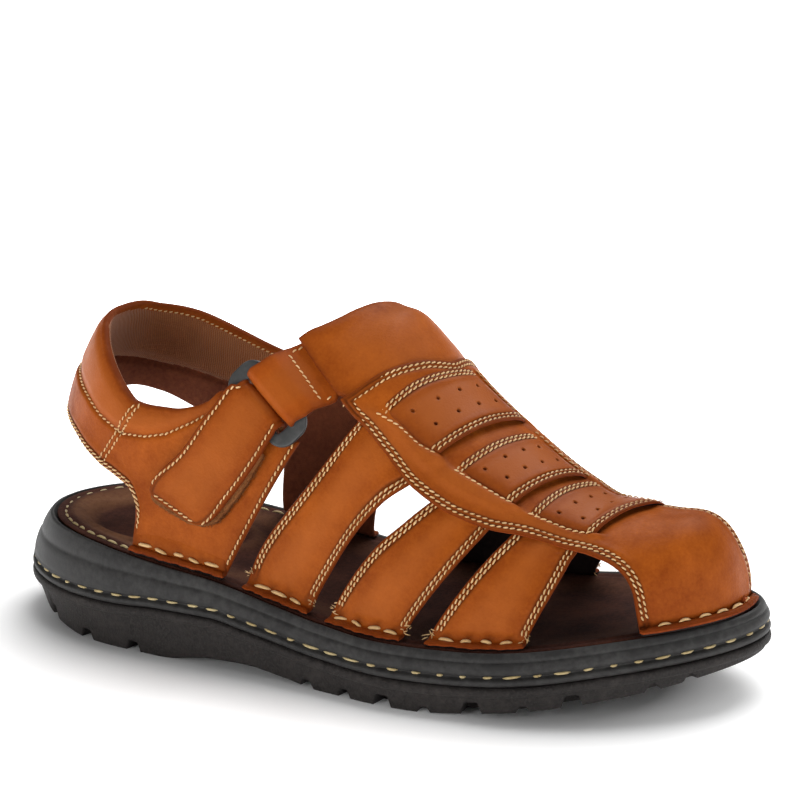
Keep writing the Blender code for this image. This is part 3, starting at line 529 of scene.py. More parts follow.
def in_from_edge(grid, distance):
    """Column number, with its fraction, that lies a distance in from the first column of each row."""
    run = run_of(grid, axis=1)
    distance = np.broadcast_to(distance, len(grid))
    after = np.clip((run < distance[:, None]).sum(axis=1), 1, grid.shape[1] - 1)
    row = np.arange(len(grid))
    low, high = run[row, after - 1], run[row, after]
    return after - 1 + held((distance - low) / np.maximum(high - low, 1e-9))


def picked(field, column):
    """Values of a grid at one fractional column of each row."""
    k = np.clip(np.floor(column).astype(int), 0, field.shape[1] - 2)
    row, f = np.arange(len(field)), (column - k)[:, None]
    return field[row, k] * (1 - f) + field[row, k + 1] * f


def seam_line(grid, distance, rows=slice(None), far=False):
    """Points and normals of a line a distance in from the first, or the far, column of a grid."""
    n = normals(grid)
    if far:
        grid, n = grid[:, ::-1], n[:, ::-1]
    column = in_from_edge(grid, distance)
    return picked(grid, column)[rows], picked(n, column)[rows]


def turned(grid):
    """A grid with its rows and columns changed over."""
    return grid.transpose(1, 0, 2)


def crossing(field):
    """Column number, with its fraction, at which each row of a rising field passes zero."""
    row = np.arange(len(field))
    after = np.clip((field < 0).sum(axis=1), 1, field.shape[1] - 1)
    low, high = field[row, after - 1], field[row, after]
    return after - 1 + held(-low / np.maximum(high - low, 1e-9))


def nearest(points, others):
    """For each point the number of the nearest other point, and the distance to it."""
    square = (points ** 2).sum(-1)[:, None] + (others ** 2).sum(-1)[None, :] - 2 * points @ others.T
    place = square.argmin(axis=1)
    return place, np.linalg.norm(points - others[place], axis=-1)


def evenly(points, inner, step=0.6):
    """An edge and the points inside it, taken again at even steps along the edge."""
    run = run_of(points)
    s = np.arange(0, run[-1], step)
    return tuple(np.stack([np.interp(s, run, part[:, k]) for k in range(3)], -1) for part in (points, inner))


def steadied(line, reach=6):
    """A line of points with each point replaced by the mean of its neighbours, and its two ends kept."""
    padded = np.concatenate([np.repeat(line[:1], reach, axis=0), line, np.repeat(line[-1:], reach, axis=0)])
    total = np.cumsum(np.concatenate([0 * line[:1], padded]), axis=0)
    return (total[2 * reach + 1:] - total[:-2 * reach - 1]) / (2 * reach + 1)


def beside_edge(edge, inner, surface, distance, others):
    """Points and normals of a line a distance in from an edge: the edge moved square to itself towards its
    inner points, laid on the nearest part of the surface, and stopped short of the other edges."""
    flat, flat_n = surface.reshape(-1, 3), normals(surface).reshape(-1, 3)
    n = unit(steadied(flat_n[nearest(edge + unit(inner - edge) * 5.0, flat)[0]]))
    inward = unit(np.cross(n, np.gradient(edge, axis=0)))
    inward = inward * np.sign((inward * (inner - edge)).sum(-1, keepdims=True))
    spot = edge + inward * distance
    place = nearest(spot, flat)[0]
    down = ((spot - flat[place]) * n).sum(-1, keepdims=True)
    spot = spot - n * (steadied(down) - 0.08)
    keep = nearest(spot, others)[1] > distance - 0.2
    return spot[keep], n[keep]


def lengthened(line, ahead, drop):
    """A line of points and normals carried straight on before its first point, and sunk by a drop there."""
    points, n = line
    back = unit(points[0] - points[3])
    share = np.linspace(1.0, 0.25, 4)[:, None]
    more = points[0] + back * ahead * share - n[0] * drop * share
    return np.concatenate([more, points]), np.concatenate([np.repeat(n[:1], 4, axis=0), n])


# Meshes


edge_y = outline(np.linspace(0, 2 * np.pi, 721))[:, 1]
PLACE = np.array((-LENGTH / 2, -(edge_y.max() + edge_y.min()) / 2, 0.0))


def put(name, points, faces, finishes, stands_for=(), kinds=None, marks=None, cut=None, weld=False):
    """A piece of the sandal from points in millimetres and four-cornered faces, with its finishes, marks
    on its points and places on the flat cut, in the row frame in metres."""
    mesh = bpy.data.meshes.new(name)
    points = (np.asarray(points).reshape(-1, 3) + PLACE) * MM
    mesh.vertices.add(len(points))
    mesh.vertices.foreach_set("co", points.ravel())
    mesh.loops.add(faces.size)
    mesh.loops.foreach_set("vertex_index", faces.ravel().astype(np.int32))
    mesh.polygons.add(len(faces))
    mesh.polygons.foreach_set("loop_start", np.arange(0, faces.size, 4, dtype=np.int32))
    for finish in finishes:
        mesh.materials.append(finish)
    if kinds is not None:
        mesh.polygons.foreach_set("material_index", np.asarray(kinds, dtype=np.int32))
    mesh.polygons.foreach_set("use_smooth", np.ones(len(faces), dtype=bool))
    for mark, values in (marks or {}).items():
        layer = mesh.attributes.new(mark, "FLOAT", "POINT")
        layer.data.foreach_set("value", np.asarray(values, dtype=np.float32).ravel())
    if cut is not None:
        layer = mesh.uv_layers.new(name="cut")
        layer.data.foreach_set("uv", np.asarray(cut).reshape(-1, 2)[faces.ravel()].ravel().astype(np.float32))
    mesh.update(calc_edges=True)
    if weld:
        work = bmesh.new()
        work.from_mesh(mesh)
        bmesh.ops.remove_doubles(work, verts=work.verts, dist=0.00001)
        bmesh.ops.dissolve_degenerate(work, edges=work.edges, dist=0.000004)
        work.to_mesh(mesh)
        work.free()
    piece = bpy.data.objects.new(name, mesh)
    bpy.context.scene.collection.objects.link(piece)
    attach(piece, "root")
    if stands_for:
        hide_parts(*stands_for)
    return piece


def grid_faces(rows, columns, start=0):
    """Four-cornered faces of a grid of points."""
    index = start + np.arange(rows * columns).reshape(rows, columns)
    return np.stack([index[:-1, :-1], index[:-1, 1:], index[1:, 1:], index[1:, :-1]], -1).reshape(-1, 4)


def sheet(name, outer, inner, border, finishes, slot, stands_for=(), radius=0.9, marks=None, weld=False,
          lining=None, edges=(2, 2, 2, 2)):
    """A closed sheet of leather between two grids. Its two faces are drawn together towards the border
    along a quarter circle; the finishes are outer face, inner face and cut edge. The lining may name a
    finish for each face of the inside, and the edges one for each of the four edges."""
    middle, half = (outer + inner) / 2, (outer - inner) / 2
    k = held(1 - border / radius)
    half = half * np.maximum(np.sqrt(1 - k ** 2), 0.25)[..., None]
    outer, inner = middle + half, middle - half
    rows, columns = outer.shape[:2]
    shift = rows * columns
    top = grid_faces(rows, columns)
    index = np.arange(shift).reshape(rows, columns)
    loop = np.concatenate([index[0, :], index[1:, -1], index[-1, -2::-1], index[-2:0:-1, 0]])
    after = np.roll(loop, -1)
    rim_faces = np.stack([loop, after, after + shift, loop + shift], -1)
    n = np.cross(outer[1:, :-1] - outer[:-1, :-1], outer[:-1, 1:] - outer[:-1, :-1])
    if (n * half[:-1, :-1]).sum() > 0:
        faces = np.concatenate([top[:, ::-1], top + shift, rim_faces])
    else:
        faces = np.concatenate([top, top[:, ::-1] + shift, rim_faces[:, ::-1]])
    inside = np.ones(len(top)) if lining is None else lining.ravel()
    around = np.repeat(edges, (columns, rows - 1, columns - 1, rows - 2))
    kinds = np.concatenate([np.zeros(len(top)), inside, around])
    cut = np.stack([run_of(middle, 0), run_of(middle, 1)], -1)
    given = {"edge": np.exp(-(border / 0.8) ** 2), "edge_darkening": np.exp(-border / EDGE_DARKENING_REACH)}
    given.update(marks or {})
    both = {mark: np.stack([values + 0 * border, values + 0 * border]) for mark, values in given.items()}
    points = np.stack([outer, inner])
    piece = put(name, points, faces, finishes, stands_for, kinds, both, np.stack([cut, cut]), weld)
    return piece, outer


def ring_faces(count, around):
    """Four-cornered faces between rings of points, each ring closed on itself."""
    index = np.arange(count * around).reshape(count, around)
    after = np.roll(index, -1, axis=1)
    return np.stack([index[:-1], after[:-1], after[1:], index[1:]], -1).reshape(-1, 4)


def stack(name, rows, finishes, stands_for, marks=None):
    """A closed skin through rings, from the middle of its bottom to the middle of its top."""
    points = np.stack(rows)
    faces = ring_faces(*points.shape[:2])[:, ::-1]
    put(name, points, faces, finishes, stands_for, marks=marks, weld=True)


def rods(name, runs, finish, around=6):
    """Many short rods joined in one mesh. A run holds centre lines, side and up directions and the half
    width and half height of each rod; a rod is an oval carried along its line, narrower at both ends."""
    lines, side, up, wide, high = (np.concatenate(part) for part in zip(*runs))
    count, steps = lines.shape[:2]
    angle = turns(around)
    a = np.linspace(-1, 1, steps)
    taper = np.sqrt(np.maximum(1 - a ** 4, 0.06))[None, :, None, None]
    across = side[:, None, None, :] * (np.cos(angle)[None, None, :, None] * wide[:, None, None, None])
    upward = up[:, None, None, :] * (np.sin(angle)[None, None, :, None] * high[:, None, None, None])
    points = lines[:, :, None, :] + (across + upward) * taper
    first = np.arange(around)
    last = first + (steps - 1) * around
    caps = [[first[0], first[around - 1 - k], first[around - 2 - k], first[around - 3 - k]]
            for k in range(0, around - 3, 2)]
    caps += [[last[0], last[1 + k], last[2 + k], last[3 + k]] for k in range(0, around - 3, 2)]
    one = np.concatenate([ring_faces(steps, around), np.array(caps)])
    faces = (one[None] + (np.arange(count) * steps * around)[:, None, None]).reshape(-1, 4)
    put(name, points, faces, [finish])


def stitches(line, pitch=STITCH_PITCH, long=STITCH_LONG, wide=STITCH_WIDE, lift=0.34, sink=0.12, slant=0.3,
             spare=0.5, seed=1, uneven=0.05):
    """Stitches along a line of points and normals: each is a shallow arch a pitch after the last, turned a
    little across the line, with small differences of length, place and height."""
    points, n = line
    run = run_of(points)
    count = max(int((run[-1] - 2 * spare) / pitch), 1)
    chance = np.random.default_rng(seed)
    place = run[-1] / 2 + (np.arange(count) - (count - 1) / 2) * pitch + chance.normal(0, 0.02 * pitch, count)

    def here(field, s):
        """Values of a field at distances along the line, straight between its points."""
        return np.stack([np.interp(s, run, field[:, k]) for k in range(3)], -1)

    way = unit(here(points, place + 0.3) - here(points, place - 0.3))
    up = here(n, place)
    up = unit(up - way * (way * up).sum(-1, keepdims=True))
    side = np.cross(up, way)
    tilt = slant + chance.normal(0, 0.03, count)[:, None]
    way, side = way * np.cos(tilt) + side * np.sin(tilt), side * np.cos(tilt) - way * np.sin(tilt)
    a = np.linspace(-0.5, 0.5, 6)
    length = long * chance.uniform(1 - 2 * uneven, 1 + uneven, count)
    arch = lift * chance.uniform(0.9 - uneven, 1.1, count)
    lines = (here(points, place)[:, None, :] + way[:, None, :] * (a[None, :] * length[:, None])[..., None]
             + up[:, None, :] * (arch[:, None] * (1 - (2 * a[None, :]) ** 2) - sink)[..., None])
    thick = wide * chance.uniform(0.92, 1.08, count) / 2
    return lines, side, up, thick, thick * 0.72


def hairs(roots, ways, long, thick, curl, seed):
    """Loose fibres: each starts at a root, goes along its way and bends aside with the square of its
    length."""
    chance = np.random.default_rng(seed)
    count = len(roots)
    t = np.linspace(0, 1, 5)[None, :, None]
    length = (long * chance.uniform(0.45, 1.15, count))[:, None, None]
    aside = chance.normal(size=(count, 3)) * curl
    lines = roots[:, None, :] + (ways[:, None, :] * t + aside[:, None, :] * t ** 2) * length
    side = unit(np.cross(ways, np.roll(ways, 1, axis=1) + 0.3))
    half = thick / 2 * chance.uniform(0.7, 1.2, count)
    return lines, side, unit(np.cross(side, ways)), half, half


# Shading


def feed(tree, socket, value):
    """Gives a socket a number, a colour or a link."""
    if isinstance(value, (int, float)):
        socket.default_value = value
    elif isinstance(value, tuple):
        socket.default_value = (*value, 1.0)
    else:
        tree.links.new(value, socket)


def add(tree, kind, sockets=(), **settings):
    """A node with its settings, and what is fed to its sockets."""
    made = tree.nodes.new(kind)
    for name, value in settings.items():
        setattr(made, name, value)
    for socket, value in dict(sockets).items():
        feed(tree, made.inputs[socket], value)
    return made


def lead(tree, node, **sources):
    """Links sources to the named sockets of a node."""
    for socket, source in sources.items():
        tree.links.new(source, node.inputs[socket.replace("_", " ")])


def math(tree, operation, one, two=0.0, clamp=False):
    """A measure of one or two sockets or numbers."""
    return add(tree, "ShaderNodeMath", {0: one, 1: two}, operation=operation, use_clamp=clamp).outputs[0]


def times(tree, one, two, clamp=False):
    """Product of two sockets or numbers."""
    return math(tree, "MULTIPLY", one, two, clamp)


def plus(tree, one, two, clamp=False):
    """Sum of two sockets or numbers."""
    return math(tree, "ADD", one, two, clamp)


def mixed(tree, factor, one, two):
    """Two colours mixed by a factor."""
    return add(tree, "ShaderNodeMix", {0: factor, 6: one, 7: two}, data_type="RGBA").outputs[2]


def spread(tree, value, low, high, to_low=0.0, to_high=1.0):
    """A value moved from one range to another and kept inside it."""
    ranges = {"From Min": low, "From Max": high, "To Min": to_low, "To Max": to_high}
    return add(tree, "ShaderNodeMapRange", {**ranges, "Value": value}).outputs["Result"]


def place_of(tree):
    """Object coordinates."""
    return add(tree, "ShaderNodeTexCoord").outputs["Object"]


def mark(tree, name):
    """A mark on the points of a piece."""
    return add(tree, "ShaderNodeAttribute", attribute_name=name).outputs["Fac"]


def noise(tree, where, scale, detail=3.0, rough=0.55):
    """Noise over Object coordinates; the scale is in cells to the metre."""
    sockets = {"Detail": detail, "Roughness": rough, "Vector": where, "Scale": scale}
    return add(tree, "ShaderNodeTexNoise", sockets).outputs["Fac"]


def shader_group(name, inputs, outputs):
    """A new node group with named inputs and outputs, and its first and last nodes."""
    group = bpy.data.node_groups.new(name, "ShaderNodeTree")
    for socket, (kind, value) in inputs.items():
        made = group.interface.new_socket(socket, in_out="INPUT", socket_type="NodeSocket" + kind)
        made.default_value = value
    for socket, kind in outputs.items():
        group.interface.new_socket(socket, in_out="OUTPUT", socket_type="NodeSocket" + kind)
    return group, group.nodes.new("NodeGroupInput").outputs, group.nodes.new("NodeGroupOutput")


def hide_grain_group():
    """Pores and fine creases of smooth leather: small cells with fine noise for the height, slow noise for
    the tone."""
    group, given, out = shader_group(
        "hide_grain", {"Scale": ("Float", 1000.0)}, {"Height": "Float", "Tone": "Float"})
    where = place_of(group)
    cells = add(group, "ShaderNodeTexVoronoi", {"Randomness": 1.0, "Vector": where, "Scale": given["Scale"]})
    fine = noise(group, where, times(group, given["Scale"], 2.2), 3.0, 0.6)
    slow = noise(group, where, 32.0, 4.0, 0.6)
    middle = noise(group, where, 150.0, 3.0, 0.6)
    speck = noise(group, where, 900.0, 2.0, 0.6)
    height = plus(group, times(group, cells.outputs["Distance"], 0.55), times(group, fine, 0.7))
    tone = plus(group, times(group, slow, 0.5), times(group, middle, 0.3))
    tone = plus(group, tone, times(group, speck, 0.2))
    lead(group, out, Height=height, Tone=spread(group, tone, 0.38, 0.62))
    return group


def wear_and_painted_light_group():
    """Leather colour: redder and rougher on worn cut edges, darker towards the cut edges, darker in seams as
    painted shade, and a little paler where it bulges as a painted sheen."""
    group, given, out = shader_group(
        "edge_wear_painted_shade_and_sheen",
        {"Colour": ("Color", (0.5, 0.2, 0.05, 1)), "Edge colour": ("Color", (0.3, 0.08, 0.02, 1)),
         "Seam colour": ("Color", (0.1, 0.03, 0.01, 1)), "Bulge colour": ("Color", (0.5, 0.2, 0.1, 1))},
        {"Colour": "Color", "Worn": "Float"})
    broken = noise(group, place_of(group), 420.0, 4.0, 0.65)
    # Darker towards the cut edges
    edge_darkening = times(group, mark(group, "edge_darkening"), spread(group, broken, 0.3, 0.7, 0.5, 0.9), True)
    worn = times(group, mark(group, "edge"), spread(group, broken, 0.3, 0.6, 0.55, 1.0), True)
    # Painted shade: darker in stitched seams, hollows and pinholes
    painted_shade = times(group, mark(group, "seam_shade"), spread(group, broken, 0.35, 0.7, 1.0, 0.6), True)
    # Painted sheen: a little paler where the leather bulges
    colour = mixed(group, mark(group, "bulge"), given["Colour"], given["Bulge colour"])
    colour = mixed(group, edge_darkening, colour, given["Edge colour"])
    colour = mixed(group, worn, colour, given["Edge colour"])
    lead(group, out, Colour=mixed(group, painted_shade, colour, given["Seam colour"]), Worn=worn)
    return group


def nap_group():
    """Brushed nap: three sizes of noise, the largest for patches that lie another way."""
    group, given, out = shader_group("nap", {"Scale": ("Float", 1.0)}, {"Height": "Float", "Patch": "Float"})
    sockets = {0: place_of(group), 3: given["Scale"]}
    sized = add(group, "ShaderNodeVectorMath", sockets, operation="SCALE").outputs[0]
    fine = noise(group, sized, 2600.0, 2.0)
    middle = noise(group, sized, 700.0, 4.0)
    slow = noise(group, sized, 60.0, 5.0)
    patch = plus(group, times(group, slow, 0.6), times(group, middle, 0.4))
    height = plus(group, fine, times(group, middle, 0.8))
    lead(group, out, Height=height, Patch=spread(group, patch, 0.36, 0.64))
    return group


def ribs_group():
    """Ribbed textile: waves along the flat cut and finer waves across it; the pitch is in millimetres."""
    group, given, out = shader_group("ribs", {"Pitch": ("Float", 1.2)}, {"Height": "Float", "Shade": "Float"})
    cut = add(group, "ShaderNodeUVMap", uv_map="cut").outputs["UV"]
    apart = add(group, "ShaderNodeSeparateXYZ", {0: cut}).outputs
    wave, cross = (math(group, "SINE", times(group, math(group, "DIVIDE", apart[axis], given["Pitch"]), turn))
                   for axis, turn in (("X", 6.2832), ("Y", 9.0)))
    height = plus(group, wave, times(group, cross, 0.45))
    lead(group, out, Height=height, Shade=spread(group, height, -1.2, 1.2))
    return group


def rubber_group():
    """Moulded rubber: fine stipple for the height, and dull dusty patches."""
    group, given, out = shader_group(
        "rubber_skin", {"Scale": ("Float", 1500.0)}, {"Height": "Float", "Dust": "Float"})
    where = place_of(group)
    patch = times(group, noise(group, where, 45.0, 5.0, 0.65), noise(group, where, 400.0, 3.0, 0.6))
    stipple = noise(group, where, given["Scale"], 3.0, 0.7)
    lead(group, out, Height=stipple, Dust=spread(group, patch, 0.18, 0.42))
    return group


HIDE, WEAR_AND_PAINTED_LIGHT, NAP = hide_grain_group(), wear_and_painted_light_group(), nap_group()
RIBS_CLOTH, RUBBER = ribs_group(), rubber_group()


def shared(tree, group, **values):
    """Outputs of a shared group placed in a material with its own values."""
    made = add(tree, "ShaderNodeGroup", node_tree=group)
    for name, value in values.items():
        feed(tree, made.inputs[name.replace("_", " ")], value)
    return made.outputs


def blank(name, **sockets):
    """A material with its shader, and the shader's plain values."""
    made = bpy.data.materials.new(name)
    made.use_nodes = True
    shader = made.node_tree.nodes["Principled BSDF"]
    for socket, value in sockets.items():
        shader.inputs[socket.replace("_", " ")].default_value = value
    return made, made.node_tree, shader


def bumped(tree, shader, height, strength, distance):
    """A height turned into a bump on the shader's normal; the distance is in metres."""
    bump = add(tree, "ShaderNodeBump", {"Strength": strength, "Distance": distance, "Height": height})
    lead(tree, shader, Normal=bump.outputs["Normal"])


def leather(name, pale, deep, edge, seam_shade, bulge, rough=(0.38, 0.54), coat=0.015):
    """Smooth oiled leather: tone between a pale and a deep colour, wear on edges, pores, painted shade in
    seams and a painted sheen on bulges.
    """
    made, tree, shader = blank(
        name, Coat_Weight=coat, Coat_Roughness=0.35, Coat_IOR=1.4, Specular_IOR_Level=0.06)
    grain = shared(tree, HIDE, Scale=1150.0)
    tone = mixed(tree, grain["Tone"], deep, pale)
    wear_and_painted_light = shared(tree, WEAR_AND_PAINTED_LIGHT, Colour=tone, Edge_colour=edge, Seam_colour=seam_shade, Bulge_colour=bulge)
    gloss = spread(tree, grain["Tone"], 0.0, 1.0, rough[1], rough[0])
    gloss = plus(tree, gloss, times(tree, wear_and_painted_light["Worn"], 0.25), True)
    lead(tree, shader, Base_Color=wear_and_painted_light["Colour"], Roughness=gloss)
    bumped(tree, shader, grain["Height"], 0.34, 0.0003)
    return made


def nap_finish(name, pale, deep, strength=0.6, scale=1.0, rough=0.95, rubbed_and_highlight=None):
    """Suede, felt or fuzz: patches of two colours and a soft raised nap, paler where it is rubbed and where a
    highlight is painted.
    """
    made, tree, shader = blank(name, Roughness=rough, Sheen_Roughness=0.5, Specular_IOR_Level=0.2)
    nap = shared(tree, NAP, Scale=scale)
    colour = mixed(tree, nap["Patch"], deep, pale)
    if rubbed_and_highlight:
        # Paler where rubbed, and a painted highlight where the mark follows the ridge of the heel pad
        worn = times(tree, mark(tree, "rubbed_and_highlight"), spread(tree, nap["Patch"], 0.0, 1.0, 0.5, 1.0))
        colour = mixed(tree, worn, colour, rubbed_and_highlight)
    lead(tree, shader, Base_Color=colour)
    bumped(tree, shader, nap["Height"], strength, 0.0006)
    return made


def rubber(name, colour, dusty, scale, rough, strength, coat=0.0, speck=0.0):
    """Moulded rubber with a stippled skin, a little dust, and paler on the tops of the stipple."""
    made, tree, shader = blank(name, Specular_IOR_Level=0.3, Coat_Weight=coat, Coat_Roughness=0.4)
    skin = shared(tree, RUBBER, Scale=scale)
    # Paler on the tops of the stipple
    tops = spread(tree, skin["Height"], 0.42, 0.64, 0.0, speck)
    dust_and_pale_tops = math(tree, "MAXIMUM", skin["Dust"], tops)
    gloss = spread(tree, skin["Dust"], 0.0, 1.0, rough, rough + 0.18)
    lead(tree, shader, Base_Color=mixed(tree, dust_and_pale_tops, colour, dusty), Roughness=gloss)
    bumped(tree, shader, skin["Height"], strength, 0.0006)
    return made


def textile_finish():
    """Lining of the heel strap: ribbed textile in two browns, the darker one painted as shade in the troughs
    of the ribs.
    """
    made, tree, shader = blank("lining_textile", Roughness=0.9, Sheen_Weight=0.2, Specular_IOR_Level=0.2)
    ribs, nap = shared(tree, RIBS_CLOTH, Pitch=0.85), shared(tree, NAP, Scale=1.0)
    # Darker in the troughs of the ribs: painted shade
    colour = mixed(tree, ribs["Shade"], (0.26, 0.085, 0.028), (0.44, 0.165, 0.060))
    lead(tree, shader, Base_Color=mixed(tree, times(tree, nap["Patch"], 0.5), colour, (0.30, 0.102, 0.036)))
    bumped(tree, shader, ribs["Height"], 0.6, 0.0003)
    return made


def thread_finish(name, pale, deep):
    """Waxed thread: two tones along it and a fine nap."""
    made, tree, shader = blank(name, Roughness=0.55, Specular_IOR_Level=0.4, Sheen_Weight=0.15)
    nap = shared(tree, NAP, Scale=1.2)
    lead(tree, shader, Base_Color=mixed(tree, nap["Patch"], deep, pale))
    bumped(tree, shader, nap["Height"], 0.5, 0.0002)
    return made


# Finishes of leather: pale, deep, cut edge, painted seam shade and painted bulge sheen
TAN = leather("tan_leather", (0.405, 0.094, 0.0105), (0.245, 0.048, 0.0048), (0.16, 0.029, 0.004),
              (0.060, 0.013, 0.003), (0.42, 0.110, 0.020))
PANEL = leather("tan_panel_leather", (0.37, 0.088, 0.0125), (0.27, 0.058, 0.008), (0.16, 0.032, 0.006),
                (0.06, 0.013, 0.004), (0.37, 0.098, 0.022), (0.36, 0.48), 0.05)
STRAP = leather("tan_strap_leather", (0.395, 0.091, 0.0105), (0.245, 0.048, 0.0048), (0.155, 0.028, 0.004),
                (0.060, 0.013, 0.003), (0.375, 0.098, 0.017))
TAB_HIDE = leather("tan_tab_leather", (0.43, 0.092, 0.0095), (0.325, 0.063, 0.0060), (0.18, 0.034, 0.005),
                   (0.07, 0.016, 0.004), (0.35, 0.09, 0.015))
# Finishes with a nap: pale, deep, strength, scale, roughness, colour where rubbed and painted highlight
RAW = nap_finish("raw_leather_edge", (0.33, 0.060, 0.008), (0.17, 0.028, 0.005), 0.5, 1.4, 0.85)
# Near-black inside of the unlined leather: painted shade
PAINTED_SHADE_INSIDE = nap_finish("inside_in_painted_shade", (0.022, 0.013, 0.011), (0.009, 0.006, 0.006), 0.35, 1.0, 0.8)
SUEDE_LINING = nap_finish("suede_lining", (0.25, 0.075, 0.034), (0.14, 0.038, 0.019), 0.5)
FOOTBED = nap_finish("footbed_suede", (0.085, 0.030, 0.0185), (0.033, 0.0108, 0.0078),
                     rubbed_and_highlight=(0.21, 0.095, 0.047))
FUZZ = nap_finish("touch_fuzz", (0.34, 0.130, 0.040), (0.16, 0.052, 0.016), 1.0, 1.6)
# Finishes of rubber: clean, dusty, scale, roughness, strength, coat, paleness on the tops of the stipple
MIDSOLE = rubber("midsole_rubber", (0.0220, 0.0209, 0.0202), (0.050, 0.0480, 0.0465), 900.0, 0.50, 0.16, 0.02)
OUTSOLE = rubber("outsole_rubber", (0.0185, 0.0160, 0.0150), (0.052, 0.045, 0.042), 1000.0, 0.62, 1.0,
                 0.0, 0.6)
RING = rubber("ring_plastic", (0.046, 0.047, 0.047), (0.080, 0.079, 0.077), 600.0, 0.32, 0.06, 0.15)
TEXTILE = textile_finish()
# Finishes, slot and solid of the unlined leather of the upper
UPPER_LEATHER = [TAN, PAINTED_SHADE_INSIDE, RAW], "tan_leather", ("upper",)
THREAD = thread_finish("cream_thread", (0.82, 0.55, 0.27), (0.63, 0.38, 0.15))
SOLE_THREAD = thread_finish("sole_thread", (0.62, 0.50, 0.26), (0.40, 0.29, 0.12))

# Sole


def side_turn(x, side):
    """Turn round the outline at a place along one side: the angle whose cosine gives x."""
    angle = np.arccos(np.clip(1 - 2 * x / LENGTH, -1, 1))
    return angle if side < 0 else 2 * np.pi - angle


def notch_field(turn):
    """Height and depth of the lug notches round the outline: each is a trapezoid with drafted sides."""
    high, deep = np.zeros_like(turn), np.zeros_like(turn)
    spot = outline(turn)
    for side, x, width, inwards, up in NOTCHES:
        away = np.linalg.norm(spot - outline(np.array(side_turn(x, side))), axis=-1)
        inside = held((width / 2 + NOTCH_DRAFT - away) / (2 * NOTCH_DRAFT)) * (np.sin(turn) * -side > 0)
        high, deep = np.maximum(high, up * inside), np.maximum(deep, inwards * (inside > 0))
    return high, deep


def sole_turn(count):
    """Turns round the outline, crowded at the edges of the lug notches."""
    turn = [turns(count)]
    reach = np.array([-1.0, -0.4, 0.4, 1.0]) * NOTCH_DRAFT
    for side, x, width in (notch[:3] for notch in NOTCHES):
        turn.append(side_turn(x + np.concatenate([reach - width / 2, reach + width / 2]), side))
    return np.unique(np.round(np.concatenate(turn), 5))


def sole_ring(turn, distance, height, share=1.0):
    """One ring of the sole: set in by a distance, drawn to the middle by a share, at a height over x."""
    flat = towards_middle(turn, inset(turn, distance + 0 * turn), share)
    x = np.clip(flat[:, 0], 0, LENGTH)
    return np.concatenate([flat, (height(x) + 0 * x)[:, None]], 1)


def raised(height, add):
    """A height over x with a distance added."""
    return lambda x: height(x) + add


def over_seat(add):
    """Height a distance over the top of the outsole."""
    return lambda x: seat(x) + GAP + add


def band(share):
    """Height part of the way from above the stitched groove to the rim."""
    low = GAP + BAND_LOW
    return lambda x: seat(x) + low + share * (rim(x) - seat(x) - low)


def rim_inset(turn):
    """How far the rim stands in from the outline."""
    return curve(SOLE, 4, outline(turn)[:, 0])


def tread(points):
    """Channels pressed across the bottom of the outsole, as trapezoids over x."""
    depth = np.zeros(len(points))
    for x, width in CHANNELS:
        across = held(width / 2 + 0.5 - np.abs(points[:, 0] - x))
        depth = np.maximum(depth, CHANNEL_DEPTH * across * held(TREAD_HALF - np.abs(points[:, 1])))
    return depth


turn = sole_turn(460)
high, deep = notch_field(turn)
heel_in = HEEL_BEVEL * held(1 - outline(turn)[:, 0] / HEEL_BEVEL_REACH)
rows = []
for share in np.linspace(0, 1, 16)[:-1] ** 0.8:
    ring = sole_ring(turn, OUTSOLE_STEPS[0] + heel_in, ground, share)
    ring[:, 2] += tread(ring)
    rows.append(ring)
for distance in OUTSOLE_STEPS:
    ring = sole_ring(turn, distance + heel_in, ground)
    ring[:, 2] += high * (distance < deep)
    rows.append(ring)
for k, distance in OUTSOLE_SIDE:
    ring = sole_ring(turn, distance + heel_in * (1 - k), ground)
    bottom = ring[:, 2] + high
    ring[:, 2] = bottom + k * (seat(np.clip(ring[:, 0], 0, LENGTH)) - LIP_THICK - bottom)
    rows.append(ring)
rows += [sole_ring(turn, distance, raised(seat, up)) for distance, up in OUTSOLE_LIP]
rows += [sole_ring(turn, OUTSOLE_LIP[-1][0], seat, share) for share in (0.8, 0.4, 0.0)]
stack("outsole_dressed", rows, [OUTSOLE], ("outsole",))

turn = turns(640)
rim_in = rim_inset(turn)
rows = [sole_ring(turn, MIDSOLE_FOOT_IN, over_seat(0.0), share) for share in (0.0, 0.5, 1.0)]
rows += [sole_ring(turn, distance, over_seat(up)) for distance, up in MIDSOLE_GROOVE]
rows += [sole_ring(turn, part * rim_in + bulge, band(k)) for k, part, bulge in MIDSOLE_SIDE]
rows += [sole_ring(turn, part * rim_in, raised(rim, up)) for part, up in MIDSOLE_RIM]
rows += [sole_ring(turn, rim_in + more, raised(rim, up)) for more, up in MIDSOLE_TRAY]
tray_in = rim_in + TRAY_IN + TRAY_FLAT_IN
rows += [sole_ring(turn, tray_in, raised(rim, -TRAY_DEEP), share) for share in (0.6, 0.25, 0.0)]
stack("midsole_dressed", rows, [MIDSOLE], ("midsole",))


def dish(x, depth):
    """Top of the footbed, deepest under the heel."""
    return rim(x) - depth * (0.35 + 0.65 * held(1 - (x / 95.0) ** 2))


def heel_oval(points):
    """Distance from the middle of the heel pad, one on its oval edge."""
    x, y, long, wide = HEEL_PAD
    return np.hypot((points[..., 0] - x) / long, (points[..., 1] - y) / wide)


def footbed_relief(points):
    """Moulded heel pad (an oval ridge with a shallow bowl inside it), toe ridge and slight unevenness."""
    x, y, oval = points[:, 0], points[:, 1], heel_oval(points)
    pad = 1.3 * bell(oval, 1.0, 0.11) - 1.1 * held(1 - oval ** 2)
    toe_ridge = bell(x - 0.0022 * (y - 4.0) ** 2, 214.0, 5.0) * held(1 - (np.abs(y - 2.0) / 40.0) ** 2)
    return pad + toe_ridge + 0.18 * lumps(points, 26.0, 3)


